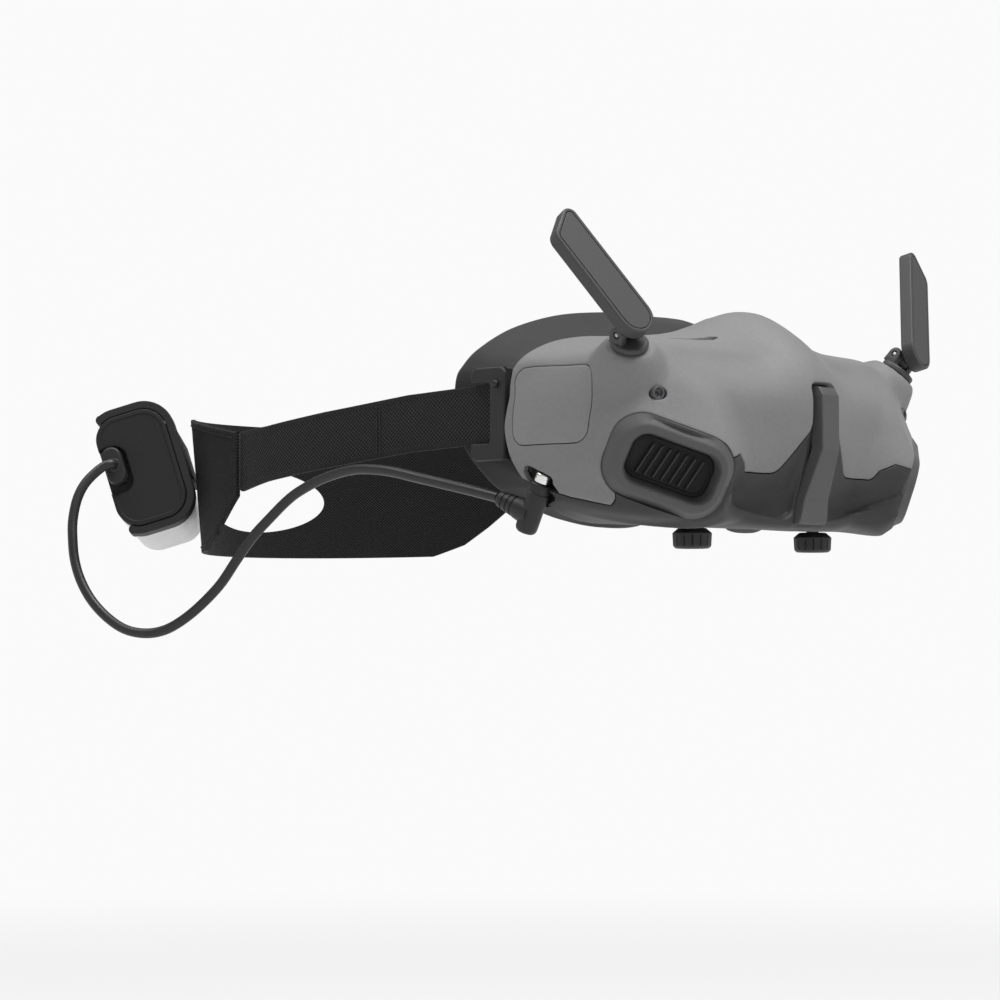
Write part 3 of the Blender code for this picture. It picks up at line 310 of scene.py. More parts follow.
NET_Y = [
    [-31, -30.5, -28, -25.5, -23.5, -20, -19, -18, -16.5, -14.5, -12.5, -10.5, -9],
    [-45, -44, -41, -38, -36, -34, -32, -30, -27, -23, -18.5, -13.5, -8.8],
    [-60, -59.5, -58, -56.5, -53.5, -51.5, -50.5, -48.5, -45, -38, -29, -18, -8.5],
    [-71, -70.3, -67.3, -63.5, -60.5, -59, -58, -56.5, -52, -43.5, -31, -19, -8.3],
    [-76, -75.5, -73.2, -70.8, -68.5, -67, -65, -61.5, -56.5, -46.5, -33, -19, -7.2],
    [-76, -75.6, -73.6, -71.2, -69.5, -68.5, -67.5, -64, -57.5, -46.5, -33, -19, -6.5],
    [-74, -73.4, -71.6, -69.5, -68.5, -68.5, -68, -64.5, -57.5, -46.5, -33, -19, -8.5],
    [-70.5, -69.6, -67, -65.2, -64.5, -64.5, -64.5, -62, -54.5, -45, -33, -21, -12.5],
    [-66.5, -66, -65, -63.5, -60.5, -58.5, -58, -56, -50, -42.5, -33, -24, -16.5],
    [-48, -44, -36, -28, -24, -22, -22, -22, -22, -22, -21, -20, -19],
]
NET_Z = [
    [37, 36.5, 33.5, 31, 29.5, 28.5, 28, 27, 25.5, 23.5, 21, 18.5, 16],
    [38, 37.5, 35, 31, 28.5, 27.5, 27, 26.5, 25, 22.5, 19.5, 17, 13.5],
    [30.5, 29.5, 26.5, 25.5, 25, 25, 25, 24.5, 23, 20, 16.5, 14, 10.5],
    [20, 19.5, 19, 18.5, 18, 18, 18, 18, 17, 14.5, 11.5, 9, 6.5],
    [9, 9, 8.5, 8, 8, 8, 8, 8, 7.5, 6, 4.5, 3.5, 2],
    [-3, -3, -3, -3, -3, -3, -3, -3.5, -4, -4, -4, -4, -4],
    [-14, -14, -15, -16, -16, -15, -14, -14, -14, -13.5, -13, -12.5, -12],
    [-25, -26, -26.5, -26.5, -26, -25, -25, -25, -24, -22.5, -21, -20, -18.5],
    [-35.5, -35.5, -35.5, -35.3, -34.6, -34.2, -34, -33.5, -32, -30, -27.5, -25.5, -23.5],
    [-28, -30, -32.5, -34, -34, -34, -34, -33.5, -32.5, -31, -29, -27, -25.5],
]
S_MAX, T_MAX = 12, 9


def mirrored(rows, sign):
    a = np.asarray(rows, float)
    return np.concatenate([sign * a[:, :0:-1], a], axis=1)


NET = np.stack([mirrored(NET_X, -1), mirrored(NET_Y, 1), mirrored(NET_Z, 1)], axis=-1)
SEAT = Vector((74.2, -52.4, 21.2))
SEAT_N = Vector((0.42, -0.46, 0.785)).normalized()
VENT = Vector((65.4, -64.2, -18.6))
VENT_TILT, VENT_ROLL = math.radians(16), math.radians(19.5)
VENT_HX, VENT_HY, VENT_R = 14.9, 8.25, 5.5


def vent_axes(side):
    a = math.radians(41.5)
    n = Vector((side * math.sin(a) * math.cos(VENT_TILT), -math.cos(a) * math.cos(VENT_TILT), -math.sin(VENT_TILT)))
    tang = Vector((-side * math.cos(a), -math.sin(a), 0))
    down = n.cross(tang) * (1 if n.cross(tang).z < 0 else -1)
    e1 = tang * math.cos(VENT_ROLL) + down * math.sin(VENT_ROLL)
    return e1, n.cross(e1), n


VE1, VE2, VN = (np.array(a) for a in vent_axes(1))


def vent_coords(p):
    """Position of points (either side) in the vent's own frame: u, v, h and the distance d outside the opening."""
    q = p.copy()
    q[..., 0] = np.abs(q[..., 0])
    rel = q - np.array(VENT)
    u, v, h = rel @ VE1, rel @ VE2, rel @ VN
    dx, dy = np.abs(u) - (VENT_HX - VENT_R), np.abs(v) - (VENT_HY - VENT_R)
    d = np.hypot(np.maximum(dx, 0), np.maximum(dy, 0)) + np.minimum(np.maximum(dx, dy), 0) - VENT_R
    return u, v, h, d


def raise_pods(p):
    side = np.where(p[..., 0] < 0, -1.0, 1.0)
    _, _, h, d = vent_coords(p)
    cone = -2.9 - 0.85 * np.maximum(d - 5.7, 0)
    k = 2.4
    blend = np.clip(0.5 + (cone - h) / (2 * k), 0, 1)
    fade = np.clip((h + 19.0) / 7.0, 0, 1)
    lift = ((cone - h) * blend + k * blend * (1 - blend)) * fade * fade * (3 - 2 * fade)
    q = p.copy()
    q[..., 0] = np.abs(q[..., 0])
    q = q + lift[..., None] * VN
    q[..., 0] *= side
    return q


def weights(f):
    return np.stack([-0.5 * f + f * f - 0.5 * f**3, 1 - 2.5 * f * f + 1.5 * f**3, 0.5 * f + 2 * f * f - 1.5 * f**3, -0.5 * f * f + 0.5 * f**3], axis=-1)


NET_PAD = np.pad(NET, ((1, 1), (1, 1), (0, 0)), mode="edge")
NET_PAD[0], NET_PAD[-1] = 2 * NET_PAD[1] - NET_PAD[2], 2 * NET_PAD[-2] - NET_PAD[-3]
NET_PAD[:, 0], NET_PAD[:, -1] = 2 * NET_PAD[:, 1] - NET_PAD[:, 2], 2 * NET_PAD[:, -2] - NET_PAD[:, -3]


def surface(s, t, pods=True):
    """Points (mm) of the body's outer surface at s (-12..12, across) and t (0..9, top to bottom)."""
    s = np.clip(np.asarray(s, float), -S_MAX, S_MAX) + S_MAX
    t = np.clip(np.asarray(t, float), 0, T_MAX)
    i = np.minimum(s.astype(int), 2 * S_MAX - 1)
    j = np.minimum(t.astype(int), T_MAX - 1)
    ws, wt = weights(s - i), weights(t - j)
    out = np.zeros(s.shape + (3,))
    for a in range(4):
        for b in range(4):
            out += (wt[..., a] * ws[..., b])[..., None] * NET_PAD[j + a, i + b]
    side = np.where(out[..., 0] < 0, -1.0, 1.0)
    n = np.stack([side * SEAT_N.x, np.full_like(side, SEAT_N.y), np.full_like(side, SEAT_N.z)], -1)
    rel = out - np.stack([side * SEAT.x, np.full_like(side, SEAT.y), np.full_like(side, SEAT.z)], -1)
    h = (rel * n).sum(-1)
    r = np.linalg.norm(rel - h[..., None] * n, axis=-1)
    w = np.clip((13.5 - r) / 6.2, 0, 1) * np.clip((20 - np.abs(h)) / 8, 0, 1)
    w = w * w * (3 - 2 * w)
    out = out - (h * w)[..., None] * n
    return raise_pods(out) if pods else out


GS, GT = np.meshgrid(np.linspace(0, 12, 161), np.linspace(0, 9, 241))
GP = surface(GS, GT).reshape(-1, 3)
GP0 = surface(GS, GT, False).reshape(-1, 3)
GSF, GTF = GS.ravel(), GT.ravel()


def locate(points):
    """(s, t) of the surface points nearest to the given points (N, 3), refined to about 0.01 mm."""
    points = np.atleast_2d(np.asarray(points, float))
    side = np.where(points[:, 0] < 0, -1.0, 1.0)
    q = points.copy()
    q[:, 0] = np.abs(q[:, 0])
    s, t = np.empty(len(q)), np.empty(len(q))
    for k, p in enumerate(q):
        b = int(np.argmin(((GP - p) ** 2).sum(-1)))
        s[k], t[k] = GSF[b], GTF[b]
    e = 0.01
    for _ in range(6):
        p0 = surface(s, t)
        sc, tc = np.clip(s, e, 12 - e), np.clip(t, e, 9 - e)
        ps = (surface(sc + e, tc) - surface(sc - e, tc)) / (2 * e)
        pt = (surface(sc, tc + e) - surface(sc, tc - e)) / (2 * e)
        r = q - p0
        a, b, c = (ps * ps).sum(-1), (ps * pt).sum(-1), (pt * pt).sum(-1)
        x, y = (ps * r).sum(-1), (pt * r).sum(-1)
        det = np.maximum(a * c - b * b, 1e-6)
        s = np.clip(s + np.clip((c * x - b * y) / det, -0.2, 0.2), 0, 12)
        t = np.clip(t + np.clip((a * y - b * x) / det, -0.2, 0.2), 0, 9)
    return np.stack([side * s, t], -1)


def locate_vent(side, uv):
    """(s, t) whose surface point has the given place (u, v) in the vent's plane."""
    uv = np.asarray(uv, float)
    rel = GP0 - np.array(VENT)
    gu, gv, gh = rel @ VE1, rel @ VE2, rel @ VN
    s, t = np.empty(len(uv)), np.empty(len(uv))
    for k, (u, v) in enumerate(uv):
        b = int(np.argmin((gu - u) ** 2 + (gv - v) ** 2 + np.where(gh < -22, 1e4, 0)))
        s[k], t[k] = GSF[b], GTF[b]
    e = 0.01

    def f(a, b):
        r = surface(a, b, False) - np.array(VENT)
        return np.stack([r @ VE1, r @ VE2], -1)

    for _ in range(8):
        f0, fs, ft = f(s, t), (f(s + e, t) - f(s - e, t)) / (2 * e), (f(s, t + e) - f(s, t - e)) / (2 * e)
        r = uv - f0
        det = fs[:, 0] * ft[:, 1] - ft[:, 0] * fs[:, 1]
        det = np.where(np.abs(det) < 1e-6, 1e-6, det)
        s = np.clip(s + np.clip((ft[:, 1] * r[:, 0] - ft[:, 0] * r[:, 1]) / det, -0.15, 0.15), 0, 12)
        t = np.clip(t + np.clip((fs[:, 0] * r[:, 1] - fs[:, 1] * r[:, 0]) / det, -0.15, 0.15), 0, 9)
    return np.stack([side * s, t], -1)


SPLIT = [
    (0, -76, 13.4), (4.8, -76, 13.4), (6.2, -75.7, 12.6), (6.9, -75.7, 11.2), (7.0, -75.7, 4), (7.0, -75.6, -1.0), (7.9, -75.3, -3.7),
    (13, -73.4, -10), (18.2, -70.8, -16.4), (19.6, -70.4, -17.5), (21.5, -70, -18.1), (34.5, -68.5, -17.8), (36.3, -68.5, -17.0),
    (38.5, -69, -14.8), (46, -68.5, -13.2), (58, -66, -13.5), (70, -58.5, -16.5), (78, -49.5, -22),
    (77.2, -48.5, -27.6), (77.4, -46.5, -30.6), (80.4, -33, -26.6), (81.6, -20, -22.6), (81.9, -11.5, -19.4),
]
half_line = locate(SPLIT)
half_line[0, 0] = 0.0
half_line[-1] = (12.0, half_line[-1][1] + 0.02)
half_line[0, 1] = half_line[1, 1]
split_st = np.concatenate([half_line[:0:-1] * [-1, 1], half_line])


# ---------------------------------------------------------------- curved sheets with true edges
def inside(loop, pts):
    """Which points lie in the closed 2D loop."""
    loop = np.asarray(loop, float)
    x, y = pts[:, 0], pts[:, 1]
    out = np.zeros(len(pts), bool)
    a, b = loop, np.roll(loop, -1, 0)
    for (x0, y0), (x1, y1) in zip(a, b):
        if y0 == y1:
            continue
        hit = (y0 > y) != (y1 > y)
        out ^= hit & (x < (x1 - x0) * (y - y0) / (y1 - y0) + x0)
    return out


def nearest(points, samples, chunk=4000):
    """Distance from each point to the nearest sample."""
    out = np.empty(len(points))
    for k in range(0, len(points), chunk):
        d = ((points[k : k + chunk, None] - samples[None]) ** 2).sum(-1)
        out[k : k + chunk] = np.sqrt(d.min(1))
    return out


class Form:
    """A curved form pos(u, v), with its normal (sign turns it outwards)."""

    def __init__(self, pos, u0, u1, v0, v1, sign=1.0):
        self.pos, self.lim, self.sign = pos, (u0, u1, v0, v1), sign
        self.eu, self.ev = (u1 - u0) * 1e-3, (v1 - v0) * 1e-3

    def tangents(self, u, v):
        u0, u1, v0, v1 = self.lim
        uc, vc = np.clip(u, u0 + self.eu, u1 - self.eu), np.clip(v, v0 + self.ev, v1 - self.ev)
        pu = (self.pos(uc + self.eu, vc) - self.pos(uc - self.eu, vc)) / (2 * self.eu)
        pv = (self.pos(uc, vc + self.ev) - self.pos(uc, vc - self.ev)) / (2 * self.ev)
        return pu, pv

    def normal(self, u, v):
        pu, pv = self.tangents(u, v)
        n = np.cross(pv, pu) * self.sign
        return n / np.maximum(np.linalg.norm(n, axis=-1, keepdims=True), 1e-9)

    def resample(self, loop, step, closed=True):
        """Loop with points no further apart than step mm on the form."""
        loop = np.asarray(loop, float)
        out = []
        n = len(loop)
        p = self.pos(loop[:, 0], loop[:, 1])
        for k in range(n if closed else n - 1):
            a, b = loop[k], loop[(k + 1) % n]
            ln = np.linalg.norm(p[(k + 1) % n] - p[k])
            m = max(1, int(math.ceil(ln / step)))
            out += [a + (b - a) * j / m for j in range(m)]
        if not closed:
            out.append(loop[-1])
        return np.array(out)

    def offset(self, loop, dist, closed=True):
        """Loop moved dist mm to its left, measured on the form."""
        loop = np.asarray(loop, float)
        if closed:
            d = np.roll(loop, -1, 0) - np.roll(loop, 1, 0)
        else:
            d = np.gradient(loop, axis=0)
        pu, pv = self.tangents(loop[:, 0], loop[:, 1])
        e, f, g = (pu * pu).sum(-1), (pu * pv).sum(-1), (pv * pv).sum(-1)
        a, b = -(f * d[:, 0] + g * d[:, 1]), e * d[:, 0] + f * d[:, 1]
        ln = np.sqrt(np.maximum(a * a * e + 2 * a * b * f + b * b * g, 1e-12))
        return loop + np.stack([a, b], -1) / ln[:, None] * np.reshape(dist, (-1, 1))


def sheet_mesh(name, form, keep, holes, us, vs, thick, mat, edge_r=0.3, lines=(), soft_edge=None, height=None,
               near=0.55, step=0.9, sharp=38, uvf=None, bare=None, matrix=None, walls=True):
    """A thick sheet on a form: outer loop keep, holes cut through it, edges rounded by edge_r.
    lines are extra (points, closed) rows of vertices; bare(points) marks edges left unrounded; height(points, u, v)
    raises or sinks the outer face."""
    loops = [ccw(form.resample(keep, step))] + [ccw(form.resample(h, step)) for h in holes]
    rounding = [0.0] if edge_r <= 0 else [edge_r * (1 - math.cos(a)) for a in (0.0, 0.55, 1.05, math.pi / 2)]
    verts, edges = [], []

    def add_line(pts, closed=True):
        k = len(verts)
        verts.extend([tuple(p) for p in pts])
        n = len(pts)
        edges.extend([(k + i, k + (i + 1) % n) for i in range(n if closed else n - 1)])

    rims = []
    for q, lp in enumerate(loops):
        for d in rounding:
            add_line(form.offset(lp, d if q == 0 else -d) if d else lp)
        rims.append(form.pos(lp[:, 0], lp[:, 1]))
    rim_all = np.concatenate(rims)
    fine = [rim_all]
    for pts, closed in lines:
        pts = form.resample(pts, step, closed)
        add_line(pts, closed)
        fine.append(form.pos(pts[:, 0], pts[:, 1]))
    uu, vv = np.meshgrid(us, vs)
    grid = np.stack([uu.ravel(), vv.ravel()], -1)
    ok = inside(loops[0], grid)
    for lp in loops[1:]:
        ok &= ~inside(lp, grid)
    grid = grid[ok]
    gp = form.pos(grid[:, 0], grid[:, 1])
    grid = grid[nearest(gp, np.concatenate(fine)) > near * step + edge_r * 0.6]
    verts.extend([tuple(p) for p in grid])
    got = delaunay_2d_cdt([Vector(p) for p in verts], edges, [], 0, 1e-7)
    uv = np.array([v[:] for v in got[0]])
    tris = np.array([f for f in got[2] if len(f) == 3], int)
    cen = uv[tris].mean(1)
    ok = inside(loops[0], cen)
    for lp in loops[1:]:
        ok &= ~inside(lp, cen)
    tris = tris[ok]
    used = np.unique(tris)
    remap = np.full(len(uv), -1)
    remap[used] = np.arange(len(used))
    uv, tris = uv[used], remap[tris]
    p = form.pos(uv[:, 0], uv[:, 1])
    n = form.normal(uv[:, 0], uv[:, 1])
    off = np.zeros(len(p))
    if height is not None:
        off += height(p, uv[:, 0], uv[:, 1])
    if edge_r > 0:
        fine_rims = []
        for lp in loops:
            f = form.resample(lp, 0.12)
            fp = form.pos(f[:, 0], f[:, 1])
            fine_rims.append(fp if bare is None else fp[~bare(fp)])
        fine_rims = np.concatenate(fine_rims)
        close = nearest(p, rim_all) < edge_r + step
        d = np.full(len(p), 9e9)
        d[close] = nearest(p[close], fine_rims)
        x = np.clip(1 - d / edge_r, 0, 1)
        off -= edge_r * (1 - np.sqrt(np.clip(1 - x * x, 0, 1)))
    outer = p + n * off[:, None]
    # faces turn outwards where the form's normal does
    a, b, c = outer[tris[:, 0]], outer[tris[:, 1]], outer[tris[:, 2]]
    flip = (np.cross(b - a, c - a) * n[tris[:, 0]]).sum(-1) < 0
    tris[flip] = tris[flip][:, ::-1]
    pts, faces, uvs = outer, tris.tolist(), uv if uvf is None else uvf(uv[:, 0], uv[:, 1])
    if walls:
        count = len(outer)
        base = off if height is not None and thick < 0 else 0
        inner = p - n * abs(thick)
        pts = np.concatenate([outer, inner])
        uvs = np.concatenate([uvs, uvs])
        ends = np.concatenate([tris[:, [0, 1]], tris[:, [1, 2]], tris[:, [2, 0]]])
        key = np.sort(ends, 1)
        _, idx, num = np.unique(key, axis=0, return_index=True, return_counts=True)
        rim = ends[idx[num == 1]]
        faces += [(int(j), int(i), int(i) + count, int(j) + count) for i, j in rim]
        faces += (tris[:, ::-1] + count).tolist()
    return new_object(name, pts, faces, mat, matrix, sharp, uv=uvs)


# ---------------------------------------------------------------- materials
class Graph:
    def __init__(self, name):
        self.m = bpy.data.materials.new(name)
        self.m.use_nodes = True
        self.t = self.m.node_tree
        self.b = self.t.nodes["Principled BSDF"]
        self.coords = self.t.nodes.new("ShaderNodeTexCoord")

    def node(self, kind, **values):
        n = self.t.nodes.new(kind)
        for k, v in values.items():
            setattr(n, k, v)
        return n

    def link(self, a, b):
        self.t.links.new(a, b)

    def noise(self, scale, detail=3.0, rough=0.6, stretch=None, where="Object"):
        n = self.node("ShaderNodeTexNoise")
        n.inputs["Scale"].default_value = scale
        n.inputs["Detail"].default_value = detail
        n.inputs["Roughness"].default_value = rough
        self.link(self.mapped(stretch, where), n.inputs["Vector"])
        return n.outputs["Fac"]

    def mapped(self, stretch=None, where="Object"):
        if stretch is None:
            return self.coords.outputs[where]
        mp = self.node("ShaderNodeMapping")
        mp.inputs["Scale"].default_value = stretch
        self.link(self.coords.outputs[where], mp.inputs["Vector"])
        return mp.outputs["Vector"]

    def cells(self, scale, feature="SMOOTH_F1", where="Object"):
        n = self.node("ShaderNodeTexVoronoi", feature=feature)
        n.inputs["Scale"].default_value = scale
        self.link(self.coords.outputs[where], n.inputs["Vector"])
        return n.outputs["Distance"]

    def math(self, op, a, b=None, clamp=False):
        n = self.node("ShaderNodeMath", operation=op, use_clamp=clamp)
        for i, v in enumerate((a, b)):
            if v is None:
                continue
            if isinstance(v, (int, float)):
                n.inputs[i].default_value = v
            else:
                self.link(v, n.inputs[i])
        return n.outputs[0]

    def span(self, value, a, b, c, d):
        n = self.node("ShaderNodeMapRange")
        self.link(value, n.inputs["Value"])
        for k, v in zip(("From Min", "From Max", "To Min", "To Max"), (a, b, c, d)):
            n.inputs[k].default_value = v
        return n.outputs["Result"]

    def mix(self, fac, a, b):
        n = self.node("ShaderNodeMix", data_type="RGBA")
        for key, v in ((0, fac), (6, a), (7, b)):
            if isinstance(v, (int, float)):
                n.inputs[key].default_value = v
            elif isinstance(v, tuple):
                n.inputs[key].default_value = (*v[:3], 1)
            else:
                self.link(v, n.inputs[key])
        return n.outputs[2]

    # painted highlight: convex edges, found by pointiness, are painted lighter
    def painted_edge_highlight(self, low=0.515, high=0.60):
        g = self.node("ShaderNodeNewGeometry")
        return self.span(g.outputs["Pointiness"], low, high, 0.0, 1.0)

    def bump(self, height, distance, strength=1.0, after=None):
        n = self.node("ShaderNodeBump")
        n.inputs["Strength"].default_value = strength
        n.inputs["Distance"].default_value = distance
        self.link(height, n.inputs["Height"])
        if after is not None:
            self.link(after, n.inputs["Normal"])
        return n.outputs["Normal"]

    def finish(self, colour=None, rough=None, normal=None, **sockets):
        for name, v in (("Base Color", colour), ("Roughness", rough), ("Normal", normal)):
            if v is None:
                continue
            if isinstance(v, tuple):
                self.b.inputs[name].default_value = (*v[:3], 1)
            elif isinstance(v, (int, float)):
                self.b.inputs[name].default_value = v
            else:
                self.link(v, self.b.inputs[name])
        for name, v in sockets.items():
            self.b.inputs[name.replace("_", " ")].default_value = v
        return self.m


def shade(c, k):
    return tuple(min(1.0, v * k) for v in c)


def plastic(name, colour, rough, grain=0.55, depth=0.035, var=0.07, edge_highlight_gain=1.25, sheen=0.0, coat=0.0):
    """Moulded plastic: fine leather-like grain, soft tone change, and a painted highlight that makes convex edges a
    little lighter.
    """
    g = Graph(name)
    pebble = g.cells(1000 / grain)
    dust = g.noise(1000 / (grain * 0.33), 2.0)
    tone = g.noise(28.0, 3.0)
    fleck = g.noise(700.0, 2.0)
    col = g.mix(tone, shade(colour, 1 - var), shade(colour, 1 + var))
    col = g.mix(g.span(fleck, 0.35, 0.75, 0.0, 0.35), col, shade(colour, 1.22))
    # painted highlight: convex edges painted lighter
    col = g.mix(g.math("MULTIPLY", g.painted_edge_highlight(), 0.55), col, shade(colour, edge_highlight_gain))
    r = g.math("ADD", g.span(tone, 0.3, 0.7, rough - 0.05, rough + 0.05), g.span(dust, 0.3, 0.7, -0.04, 0.04))
    n = g.bump(pebble, depth * MM, 0.75)
    n = g.bump(dust, depth * 0.45 * MM, 0.6, n)
    more = {"Coat_Weight": coat, "Coat_Roughness": 0.25} if coat else {}
    return g.finish(col, r, n, Specular_IOR_Level=0.34, **more)


def rubber(name, colour, rough, grain=0.3, depth=0.02, sheen=0.04):
    g = Graph(name)
    fine = g.noise(1000 / grain, 3.0)
    broad = g.noise(60.0, 4.0)
    col = g.mix(broad, shade(colour, 0.88), shade(colour, 1.14))
    # painted highlight: convex edges painted half again lighter
    col = g.mix(g.math("MULTIPLY", g.painted_edge_highlight(0.52, 0.62), 0.4), col, shade(colour, 1.5))
    n = g.bump(fine, depth * MM, 0.7)
    n = g.bump(broad, 0.10 * MM, 0.25, n)
    return g.finish(col, g.span(broad, 0.3, 0.7, rough - 0.05, rough + 0.06), n, Sheen_Weight=sheen, Sheen_Roughness=0.5, Specular_IOR_Level=0.35)


def webbing(name, colour, pitch_u, pitch_v, depth=0.10, loop_top_highlight=1.9, border=None):
    """Woven elastic: diagonal rows of raised loops, with their own thread noise; the colour follows the loop height,
    with painted shade in the gaps and a painted highlight on the loop tops. UVs are in millimetres.
    """
    g = Graph(name)
    sep = g.node("ShaderNodeSeparateXYZ")
    g.link(g.coords.outputs["UV"], sep.inputs[0])
    cu = g.math("COSINE", g.math("MULTIPLY", sep.outputs[0], math.tau / pitch_u))
    cv = g.math("COSINE", g.math("MULTIPLY", sep.outputs[1], math.tau / pitch_v))
    w = g.math("ADD", g.math("MULTIPLY", g.math("MULTIPLY", cu, cv), 0.5), 0.5)
    fibre = g.noise(1.0, 2.0, 0.6, (5.0, 1.6, 1.0), "UV")
    w2 = g.math("MULTIPLY", g.math("POWER", w, 1.4), g.span(fibre, 0.25, 0.75, 0.65, 1.1), True)
    if border is not None:
        # plain selvedge bands along both edges: fine ribs across the band
        edge = g.span(g.math("ABSOLUTE", sep.outputs[1]), border, border + 0.25, 0.0, 1.0)
        rib = g.math("ADD", g.math("MULTIPLY", g.math("COSINE", g.math("MULTIPLY", sep.outputs[0], math.tau / 0.62)), 0.22), 0.3)
        w2 = g.math("ADD", g.math("MULTIPLY", w2, g.math("SUBTRACT", 1.0, edge)), g.math("MULTIPLY", rib, edge))
    broad = g.noise(45.0, 3.0)
    # painted shade and highlight: colour darker in the gaps between loops, lighter on the loop tops
    col = g.mix(w2, shade(colour, 0.42), shade(colour, loop_top_highlight))
    col = g.mix(g.span(broad, 0.3, 0.7, 0.0, 0.25), col, shade(colour, 1.2))
    n = g.bump(w2, depth * MM, 0.8)
    return g.finish(col, g.span(w2, 0.0, 1.0, 0.95, 0.72), n, Sheen_Weight=0.05, Sheen_Roughness=0.45, Specular_IOR_Level=0.12)


def metal(name, colour, rough, stretch=(1, 1, 30)):
    g = Graph(name)
    brush = g.noise(220.0, 3.0, 0.6, stretch)
    spot = g.noise(90.0, 3.0)
    col = g.mix(spot, shade(colour, 0.9), shade(colour, 1.05))
    return g.finish(col, g.span(brush, 0.3, 0.7, rough - 0.07, rough + 0.12), g.bump(brush, 0.01 * MM, 0.4), Metallic=1.0)


def glass(name, tint, rough=0.03):
    g = Graph(name)
    spot = g.noise(35.0, 2.0)
    col = g.mix(spot, shade(tint, 0.93), tint)
    return g.finish(col, g.span(spot, 0.3, 0.7, rough, rough + 0.03), None, Transmission_Weight=0.85, IOR=1.5, Coat_Weight=1.0, Coat_Roughness=0.02,
                    Coat_Tint=(0.55, 0.62, 0.95, 1))


GREY = plastic("shell_grey_grain", (0.168, 0.168, 0.170), 0.60, 0.62, 0.055)
DARK = plastic("shell_charcoal_grain", (0.029, 0.029, 0.030), 0.58, 0.55, 0.045)
BAR = plastic("bar_charcoal_grain", (0.068, 0.068, 0.069), 0.55, 0.55, 0.045)
BEZEL = plastic("bezel_grain", (0.070, 0.070, 0.071), 0.55, 0.50, 0.035)
SLAT = plastic("slat_satin", (0.030, 0.030, 0.031), 0.42, 0.40, 0.008)
ANT = plastic("antenna_charcoal_grain", (0.044, 0.044, 0.045), 0.52, 0.34, 0.006)
ANT_COVER = plastic("antenna_cover_grain", (0.047, 0.047, 0.048), 0.54, 0.30, 0.004)
BLACK = plastic("black_plastic_grain", (0.013, 0.013, 0.0135), 0.46, 0.42, 0.018)
INNER = plastic("inner_black_matt", (0.007, 0.007, 0.0075), 0.70, 0.5, 0.02)
KNOB = plastic("knob_black_grain", (0.016, 0.016, 0.0165), 0.50, 0.36, 0.016)
TOUCH = plastic("touch_grey_satin", (0.185, 0.185, 0.187), 0.50, 0.30, 0.010, 0.04)
CAPM = plastic("battery_cap_rubber", (0.009, 0.009, 0.0092), 0.66, 0.50, 0.045)
CLIPM = plastic("battery_clip_rubber", (0.012, 0.012, 0.0122), 0.60, 0.45, 0.018)
SEAL = rubber("seal_rubber_soft", (0.016, 0.016, 0.0165), 0.68)
ANCH = rubber("anchor_rubber", (0.014, 0.014, 0.0143), 0.60)
CORDM = rubber("cord_jacket", (0.018, 0.018, 0.0185), 0.40, 0.8, 0.02, 0.0)
PLUGM = rubber("plug_moulding", (0.015, 0.015, 0.0155), 0.48, 0.4, 0.015, 0.0)
WEB = webbing("strap_weave", (0.0100, 0.0100, 0.0103), 1.60, 1.40, 0.34, 5.2, 8.1)
KNIT = webbing("cradle_knit", (0.0075, 0.0075, 0.0077), 1.30, 1.10, 0.24, 4.2)
THREAD = rubber("stitch_thread", (0.022, 0.022, 0.0225), 0.75, 0.12, 0.03)
METAL = metal("nickel", (0.78, 0.77, 0.75), 0.24)
STEEL = metal("steel_dark", (0.35, 0.35, 0.36), 0.34)
FINS = metal("heat_sink_metal", (0.62, 0.63, 0.65), 0.36)
GLASS = glass("lens_glass", (0.86, 0.90, 0.95))
CAMGLASS = glass("camera_glass", (0.10, 0.11, 0.14))


def battery_grey():
    g = Graph("battery_grey_gloss")
    tone = g.noise(22.0, 3.0)
    scratch = g.noise(160.0, 4.0, 0.7, (1.0, 0.12, 1.0))
    col = g.mix(tone, (0.42, 0.42, 0.43), (0.50, 0.50, 0.51))
    # painted highlight: convex edges painted lighter grey
    col = g.mix(g.math("MULTIPLY", g.painted_edge_highlight(), 0.4), col, (0.6, 0.6, 0.6))
    return g.finish(col, g.span(scratch, 0.35, 0.7, 0.26, 0.42), g.bump(scratch, 0.008 * MM, 0.4), Coat_Weight=0.15, Coat_Roughness=0.2)


def board():
    g = Graph("board_solder_mask")
    brick = g.node("ShaderNodeTexBrick")
    g.link(g.mapped((1, 1, 1)), brick.inputs["Vector"])
    brick.inputs["Scale"].default_value = 160.0
    for key, c in (("Color1", (0.012, 0.075, 0.032)), ("Color2", (0.016, 0.10, 0.042)), ("Mortar", (0.10, 0.20, 0.08))):
        brick.inputs[key].default_value = (*c, 1)
    brick.inputs["Mortar Size"].default_value = 0.012
    pads = g.cells(420.0, "F1")
    col = g.mix(g.span(pads, 0.14, 0.18, 1.0, 0.0), brick.outputs["Color"], (0.55, 0.42, 0.16))
    return g.finish(col, g.span(pads, 0.1, 0.3, 0.3, 0.5), g.bump(pads, 0.03 * MM, 0.4), Coat_Weight=0.2)


def display():
    g = Graph("display_dark_gloss")
    n = g.noise(50.0, 2.0)
    return g.finish(g.mix(n, (0.006, 0.006, 0.009), (0.012, 0.013, 0.018)), g.span(n, 0.3, 0.7, 0.12, 0.2), None, Coat_Weight=0.5, Coat_Roughness=0.05)


BATT = battery_grey()
BOARD = board()
DISPLAY = display()

